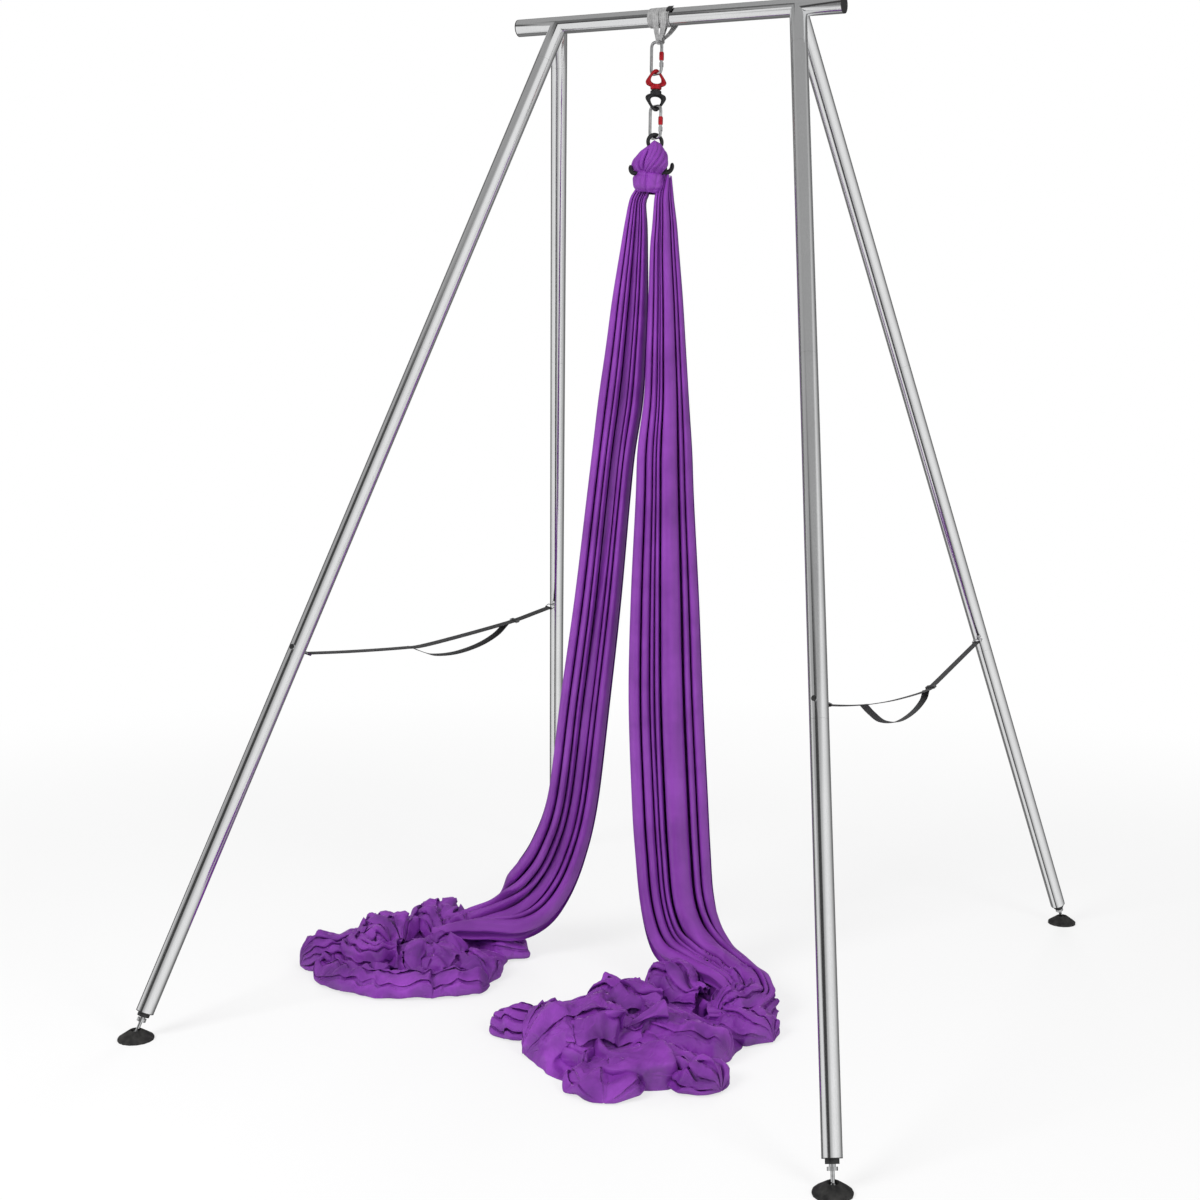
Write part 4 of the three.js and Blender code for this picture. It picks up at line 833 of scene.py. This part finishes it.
left_rows = [
    (-0.088, 0.004, 2.452, 0.018, 0.015, 0, 0), (-0.100, 0, 2.420, 0.023, 0.019, 0, 0),
    (-0.112, 0, 2.395, 0.026, 0.022, 0, 0), (-0.117, 0, 2.327, 0.035, 0.028, 0, 0),
    (-0.122, 0, 2.254, 0.042, 0.032, 0, 0), (-0.133, 0, 2.105, 0.055, 0.040, 0, 0),
    (-0.145, 0, 1.956, 0.0625, 0.045, 0, 0), (-0.160, 0, 1.805, 0.069, 0.049, 0, 0),
    (-0.181, 0, 1.652, 0.0665, 0.050, 0, 0), (-0.198, 0, 1.497, 0.068, 0.051, 0, 0),
    (-0.230, 0, 1.183, 0.0735, 0.054, 0, 0), (-0.270, 0, 0.861, 0.079, 0.058, 0, 0),
    (-0.311, 0, 0.531, 0.082, 0.061, 0, 0), (-0.358, -0.008, 0.359, 0.092, 0.064, 0, 0.05),
    (-0.415, -0.018, 0.245, 0.104, 0.064, 0, 0.2), (-0.480, -0.035, 0.165, 0.110, 0.060, 0.1, 0.5),
    (-0.565, -0.062, 0.118, 0.112, 0.050, 0.3, 0.85), (-0.660, -0.095, 0.095, 0.100, 0.040, 0.6, 1),
    (-0.740, -0.130, 0.075, 0.080, 0.030, 0.8, 1),
]
right_rows = [
    (-0.022, 0.014, 2.470, 0.014, 0.012, 0, 0), (-0.0225, 0.008, 2.445, 0.020, 0.016, 0, 0),
    (-0.0235, 0.002, 2.420, 0.0265, 0.021, 0, 0), (-0.024, 0, 2.398, 0.030, 0.024, 0, 0),
    (-0.021, 0, 2.325, 0.0375, 0.029, 0, 0), (-0.020, 0, 2.252, 0.044, 0.033, 0, 0),
    (-0.013, 0, 2.105, 0.0526, 0.038, 0, 0), (-0.008, 0, 1.957, 0.0604, 0.043, 0, 0),
    (-0.004, 0, 1.808, 0.069, 0.048, 0, 0), (-0.006, 0, 1.658, 0.0837, 0.055, 0, 0),
    (-0.003, 0, 1.506, 0.090, 0.058, 0, 0), (0.004, 0, 1.199, 0.106, 0.064, 0, 0),
    (0.014, 0, 0.887, 0.1165, 0.068, 0, 0), (0.035, 0, 0.572, 0.120, 0.070, 0, 0),
    (0.052, -0.006, 0.410, 0.119, 0.070, 0, 0.03), (0.076, -0.018, 0.262, 0.117, 0.066, 0, 0.15),
    (0.122, -0.040, 0.160, 0.116, 0.058, 0.1, 0.5), (0.195, -0.075, 0.118, 0.112, 0.048, 0.2, 0.85),
    (0.285, -0.115, 0.100, 0.100, 0.042, 0.4, 1), (0.370, -0.160, 0.085, 0.084, 0.036, 0.6, 1),
    (0.425, -0.230, 0.070, 0.070, 0.032, 0.8, 1), (0.410, -0.310, 0.055, 0.060, 0.028, 1, 1),
    (0.345, -0.350, 0.045, 0.050, 0.022, 1, 1),
]
silk_left = pleated(
    "silk_left", left_rows, (0.19, 0.14, 0.10, 0.17, 0.09, 0.22), (0.85, 0.95, 0.75, 0.3, 0.55, 1.0),
    seed=11, columns=220, finish=silk_cloth, cut_width=1.3, fine=0.07)
silk_right = pleated(
    "silk_right", right_rows, (0.17, 0.12, 0.06, 0.07, 0.31, 0.09, 0.14),
    (0.85, 0.75, 0.6, 0.8, 1.0, 0.85, 0.75),
    seed=43, columns=240, finish=silk_cloth, cut_width=1.3, fine=0.035)
heap_left = heaped(
    "silk_heap_left", (-0.735, -0.235), 0.300,
    [0.96, 0.92, 0.9, 0.98, 0.99, 0.97, 0.93, 0.95, 0.94, 1, 0.92, 0.95],
    height=0.085, seed=5, finish=silk_laid)
heap_right = heaped(
    "silk_heap_right", (0.205, -0.465), 0.370,
    [0.78, 0.86, 0.94, 1.06, 0.84, 0.84, 0.88, 0.9, 1.04, 1.16, 1.1, 0.86],
    height=0.085, seed=23, finish=silk_laid)
lobes_left = [
    ([(-0.80, -0.34), (-0.89, -0.36), (-0.96, -0.41), (-1.01, -0.47)], 0.085, 0.085, 9, (0.16, 0.14)),
    ([(-1.00, -0.42), (-0.90, -0.50), (-0.76, -0.55), (-0.60, -0.52), (-0.48, -0.44), (-0.40, -0.36)],
     0.062, 0.058, 4, (0.07, 0.07)),
    ([(-0.78, -0.28), (-0.86, -0.22), (-0.93, -0.17), (-0.99, -0.15)], 0.100, 0.110, 6, (0.13, 0.09)),
    ([(-0.68, -0.16), (-0.76, -0.08), (-0.82, 0.00), (-0.84, 0.06)], 0.100, 0.115, 6, (0.13, 0.09)),
    ([(-0.62, -0.16), (-0.62, -0.26), (-0.60, -0.36), (-0.57, -0.45)], 0.110, 0.100, 4, (0.09, 0.05)),
    ([(-0.60, -0.10), (-0.54, -0.08), (-0.49, -0.05), (-0.455, -0.02)], 0.075, 0.070, 5, (0.1, 0.07)),
    ([(-0.60, -0.26), (-0.53, -0.28), (-0.47, -0.31), (-0.415, -0.34)], 0.085, 0.070, 4, (0.1, 0.05)),
    ([(-0.74, -0.36), (-0.78, -0.42), (-0.86, -0.40), (-0.86, -0.32), (-0.80, -0.29)],
     0.055, 0.105, 6, (0.14, 0.14)),
]
lobes_right = [
    ([(0.10, -0.56), (-0.02, -0.60), (-0.12, -0.625), (-0.205, -0.615)], 0.075, 0.065, 7, (0.14, 0.1)),
    ([(0.20, -0.74), (0.26, -0.83), (0.31, -0.91), (0.335, -0.965)], 0.105, 0.055, 4, (0.08, 0.05)),
    ([(0.22, -0.66), (0.33, -0.70), (0.46, -0.735), (0.575, -0.765)], 0.072, 0.062, 6, (0.05, 0.2)),
    ([(0.27, -0.60), (0.16, -0.64), (0.06, -0.70), (0.00, -0.79)], 0.165, 0.125, 5, (0.09, 0.05)),
    ([(0.20, -0.52), (0.32, -0.55), (0.42, -0.56), (0.51, -0.555)], 0.095, 0.085, 3, (0.07, 0.04)),
    ([(0.34, -0.30), (0.43, -0.33), (0.50, -0.36), (0.555, -0.375)], 0.085, 0.080, 6, (0.12, 0.08)),
    ([(0.18, -0.08), (0.30, -0.12), (0.40, -0.19), (0.42, -0.28), (0.36, -0.36)],
     0.064, 0.105, 9, (0.16, 0.12)),
    ([(0.24, -0.42), (0.15, -0.42), (0.06, -0.42), (-0.01, -0.44)], 0.100, 0.125, 5, (0.14, 0.1)),
    ([(0.30, -0.30), (0.20, -0.25), (0.12, -0.22), (0.07, -0.22)], 0.090, 0.120, 6, (0.14, 0.1)),
]
for heap, lobe_table in ((heap_left, lobes_left), (heap_right, lobes_right)):
    made = [lobe("silk_lobe", path, half_width, height, pleats, depths, 100 + 7 * index, silk_laid)
            for index, (path, half_width, height, pleats, depths) in enumerate(lobe_table)]
    welded([heap, *made])
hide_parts("silk_tail_left")
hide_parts("silk_tail_right")
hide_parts("silk_pile_left")
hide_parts("silk_pile_right")

# Knot: the doubled cloth passes through the big ring and over itself. Two lobes lie side by side
# above, and a tight band of cloth is wrapped level round them below.


FULL_TURN = 6.2832


def knot_lobe(name, rows, folds, twist, seed, finish):
    """A full lobe of gathered cloth: rows of x, y, z, half width and half depth from its top down."""
    line, stations = even_line(rows, 0.0016)
    turn = np.linspace(0, 2 * math.pi, 130, endpoint=False)[None, :]
    share = (stations / stations[-1])[:, None]
    round_share = turn / FULL_TURN
    phase = folds * turn / 2 + twist * share + 0.9 * ripple(round_share, share, seed, 1.0)
    fold = np.abs(np.sin(phase)) ** 0.7
    swell = 1 + 0.22 * (fold - 0.6) + 0.03 * ripple(round_share, share, seed + 1, 3.0)
    x = line[:, 0][:, None] + np.cos(turn) * line[:, 3][:, None] * swell
    y = line[:, 1][:, None] + np.sin(turn) * line[:, 4][:, None] * swell
    z = line[:, 2][:, None] + 0.002 * ripple(round_share, share, seed + 2, 2.0)
    grid = np.stack([x, y, z], axis=2)
    return skin(name, grid, 0.3, stations[-1], finish, round_closed=True)


knot_left = knot_lobe("silk_knot_left", [
    (-0.066, -0.008, 2.558, 0.004, 0.006), (-0.070, -0.010, 2.550, 0.012, 0.015),
    (-0.079, -0.013, 2.535, 0.019, 0.024), (-0.088, -0.016, 2.516, 0.023, 0.030),
    (-0.0935, -0.018, 2.500, 0.0245, 0.033), (-0.094, -0.018, 2.488, 0.0235, 0.033),
    (-0.089, -0.014, 2.476, 0.020, 0.029), (-0.086, -0.010, 2.462, 0.014, 0.020)],
    folds=7, twist=-3.4, seed=71, finish=silk_cloth)
knot_right = knot_lobe("silk_knot_right", [
    (-0.054, -0.008, 2.568, 0.004, 0.006), (-0.050, -0.010, 2.559, 0.014, 0.016),
    (-0.044, -0.014, 2.542, 0.023, 0.025), (-0.041, -0.018, 2.521, 0.0295, 0.032),
    (-0.041, -0.021, 2.503, 0.0315, 0.036), (-0.045, -0.021, 2.489, 0.029, 0.035),
    (-0.054, -0.016, 2.476, 0.023, 0.030), (-0.060, -0.010, 2.462, 0.014, 0.020)],
    folds=10, twist=8.0, seed=83, finish=silk_cloth)
turn = np.linspace(0, 2 * math.pi, 200, endpoint=False)[None, :]
level = np.linspace(-1, 1, 70)[:, None]
bulge = 1 - 0.42 * np.abs(level) ** 3.6
parting = np.exp(-(((turn - 1.58 * math.pi + 0.05 * level) / 0.08) ** 2))
wrap_phase = 2.8 * level * (1 + 0.25 * np.cos(turn)) + 0.5 * np.sin(2 * turn) + 0.8
wraps = np.abs(np.sin(wrap_phase + 0.6 * ripple(turn / FULL_TURN, level / 3, 95, 1.5))) ** 0.7
upright = np.abs(np.sin(5.5 * turn + 0.8 * level)) ** 0.8
swell = bulge * (0.91 + 0.09 * wraps + 0.06 * upright) - 0.15 * parting
band_grid = np.stack([-0.0715 + np.cos(turn) * 0.046 * swell, -0.012 + np.sin(turn) * 0.039 * swell,
                      2.4500 - level * 0.0325 + 0.003 * np.cos(turn + 2.6) + 0 * turn], axis=2)
band = skin("silk_knot_band", band_grid, 0.3, 0.1, silk_cloth, round_closed=True)
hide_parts("silk_knot")
cloth_lengths = ((silk_left, 2.95, "hung", "silk_knot_band"), (silk_right, 3.3, "hung", "silk_knot_band"),
                 (heap_left, 1.5, "laid", "floor"), (heap_right, 1.95, "laid", "floor"))
for piece, length, held, rests in cloth_lengths:
    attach(piece, "hanging")
for piece in (knot_left, knot_right, band):
    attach(piece, "hanging")

# Camera: at the photograph's angle, in front of the stand and a little to its right. It stands about
# eye high, and its shift frames the stand as the photograph does.

PHOTO_SIZE, FOCAL_PIXELS = 1200, 1666.46
CENTRE_PIXEL_X, CENTRE_PIXEL_Y = 748.86, 654.03
SENSOR_WIDTH = 36
look_right = Vector((0.917259, 0.397368, 0.027094)).normalized()
look_up = -Vector((0.081716, -0.121178, -0.989262)).normalized()
look_back = look_right.cross(look_up).normalized()
look_up = look_back.cross(look_right).normalized()
camera_data = bpy.data.cameras.new("camera")
camera = bpy.data.objects.new("camera", camera_data)
bpy.context.scene.collection.objects.link(camera)
stance = Matrix((look_right, look_up, look_back)).transposed().to_4x4()
stance.translation = Vector((2.25742, -4.58730, 1.77873))
camera.matrix_world = stance
camera_data.sensor_width = SENSOR_WIDTH
camera_data.lens = SENSOR_WIDTH * FOCAL_PIXELS / PHOTO_SIZE
camera_data.shift_x = (PHOTO_SIZE / 2 - CENTRE_PIXEL_X) / PHOTO_SIZE
camera_data.shift_y = (CENTRE_PIXEL_Y - PHOTO_SIZE / 2) / PHOTO_SIZE
camera_data.clip_end = 100
bpy.context.scene.camera = camera
bpy.context.scene.view_settings.view_transform = "Standard"

# Studio: a plain pale floor in a white surround, with one large soft light above and two weaker
# ones. Only glossy rays see the ring of grey cards that the tubes mirror.


def mixed_shaders(nodes, links, share, first, second):
    """Two shaders mixed, with the second one taken where the share is 1."""
    mix = nodes.new("ShaderNodeMixShader")
    links.new(share, mix.inputs["Fac"])
    links.new(first, mix.inputs[1])
    links.new(second, mix.inputs[2])
    return mix.outputs["Shader"]


def eased(nodes, links, value, low, high, lowest=0.0, highest=1.0):
    """A value spread softly from lowest to highest between two bounds."""
    ease = nodes.new("ShaderNodeMapRange")
    ease.interpolation_type = "SMOOTHSTEP"
    ease.inputs["From Min"].default_value = low
    ease.inputs["From Max"].default_value = high
    ease.inputs["To Min"].default_value = lowest
    ease.inputs["To Max"].default_value = highest
    links.new(value, ease.inputs["Value"])
    return ease.outputs["Result"]


bpy.ops.object.select_all(action="DESELECT")
bpy.ops.mesh.primitive_plane_add(size=60, location=(0, 0, 0))
floor = bpy.context.object
floor.name = "floor"
floor_finish, nodes, links, shader = new_finish("floor")
shader.inputs["Base Color"].default_value = (0.86, 0.86, 0.86, 1)
shader.inputs["Roughness"].default_value = 0.9
rays = nodes.new("ShaderNodeLightPath")
white = nodes.new("ShaderNodeEmission")
floor_place = nodes.new("ShaderNodeTexCoord")
distance = nodes.new("ShaderNodeVectorMath")
distance.operation = "LENGTH"
links.new(floor_place.outputs["Object"], distance.inputs[0])
far_white = eased(nodes, links, distance.outputs["Value"], 1.8, 5.5, 0.7, 1.0)
seen_white = joined(nodes, links, "MULTIPLY", rays.outputs["Is Camera Ray"], far_white)
floor_mix = mixed_shaders(nodes, links, seen_white, shader.outputs["BSDF"], white.outputs["Emission"])
out = next(node for node in nodes if node.type == "OUTPUT_MATERIAL")
links.new(floor_mix, out.inputs["Surface"])
floor.data.materials.append(floor_finish)
floor.visible_glossy = False

world = bpy.data.worlds.new("studio")
bpy.context.scene.world = world
world.use_nodes = True
nodes, links = world.node_tree.nodes, world.node_tree.links
nodes.clear()
output = nodes.new("ShaderNodeOutputWorld")


def backdrop(strength):
    """A plain white surround of the given strength."""
    white_surround = nodes.new("ShaderNodeBackground")
    white_surround.inputs["Color"].default_value = (1, 1, 1, 1)
    white_surround.inputs["Strength"].default_value = strength
    return white_surround.outputs["Background"]


light_on_object = backdrop(0.55)
surround = backdrop(1.0)
mirrored = nodes.new("ShaderNodeBackground")
direction = nodes.new("ShaderNodeTexCoord")
split_direction = nodes.new("ShaderNodeSeparateXYZ")
links.new(direction.outputs["Generated"], split_direction.inputs["Vector"])
bearing = joined(nodes, links, "ARCTAN2", split_direction.outputs["Y"], split_direction.outputs["X"])
turned = nodes.new("ShaderNodeMapRange")
turned.inputs["From Min"].default_value = -math.pi
turned.inputs["From Max"].default_value = math.pi
links.new(bearing, turned.inputs["Value"])
BEARING_SHIFT = 116.2


def card_ring(stops):
    """The greys of the walls and dark cards round the stand, by bearing from the camera in degrees."""
    ramp = nodes.new("ShaderNodeValToRGB")
    places = sorted((((bearing_here + BEARING_SHIFT) / 360) % 1.0, grey) for bearing_here, grey in stops)
    while len(ramp.color_ramp.elements) < len(places):
        ramp.color_ramp.elements.new(0.5)
    for element, (spot, grey) in zip(ramp.color_ramp.elements, places):
        element.position = spot
        element.color = (grey, grey, grey, 1)
    links.new(turned.outputs["Result"], ramp.inputs["Fac"])
    return ramp.outputs["Color"]


def by_height(low, high, below, above):
    """One grey below a height of the direction and another above it."""
    mix = nodes.new("ShaderNodeMixRGB")
    links.new(eased(nodes, links, split_direction.outputs["Z"], low, high), mix.inputs["Fac"])
    links.new(below, mix.inputs["Color1"])
    links.new(above, mix.inputs["Color2"])
    return mix.outputs["Color"]


BACK_STOPS = [(-5, 0.55), (12, 0.82), (40, 0.9), (70, 0.8), (95, 0.55), (115, 0.3), (135, 0.12), (160, 0.2),
              (180, 0.15), (210, 0.25), (232, 0.12)]
low_ring = card_ring([(-116, 0.6), (-90, 0.8), (-52, 0.85), (-46, 0.06), (-25, 0.06), (-18, 0.45),
                      *BACK_STOPS])
high_ring = card_ring([(-116, 0.25), (-108, 0.42), (-75, 0.38), (-66, 0.32), (-61, 0.05), (-28, 0.05),
                       (-20, 0.45), *BACK_STOPS])
ceiling = nodes.new("ShaderNodeRGB")
ceiling.outputs[0].default_value = (0.36, 0.36, 0.36, 1)
walls = by_height(0.14, 0.26, low_ring, high_ring)
links.new(by_height(0.56, 0.66, walls, ceiling.outputs[0]), mirrored.inputs["Color"])
rays = nodes.new("ShaderNodeLightPath")
straight = joined(nodes, links, "MAXIMUM", rays.outputs["Is Camera Ray"], rays.outputs["Is Transmission Ray"])
plain_world = mixed_shaders(nodes, links, straight, light_on_object, surround)
whole_world = mixed_shaders(nodes, links, rays.outputs["Is Glossy Ray"], plain_world,
                            mirrored.outputs["Background"])
links.new(whole_world, output.inputs["Surface"])
STAND_MIDDLE = Vector((0, 0, 1.3))


def soft_light(name, at, size, power):
    """A square area light that faces the middle of the stand."""
    data = bpy.data.lights.new(name, "AREA")
    data.shape = "SQUARE"
    data.size = size
    data.energy = power
    lamp = bpy.data.objects.new(name, data)
    bpy.context.scene.collection.objects.link(lamp)
    lamp.location = at
    lamp.visible_glossy = False
    lamp.rotation_euler = (STAND_MIDDLE - Vector(at)).to_track_quat("-Z", "Y").to_euler()


soft_light("key light", (-1.6, -5.0, 3.8), 2.4, 210)
soft_light("right light", (4.2, -2.4, 3.2), 1.6, 70)
soft_light("back light", (-1.0, 4.5, 4.0), 2.0, 70)
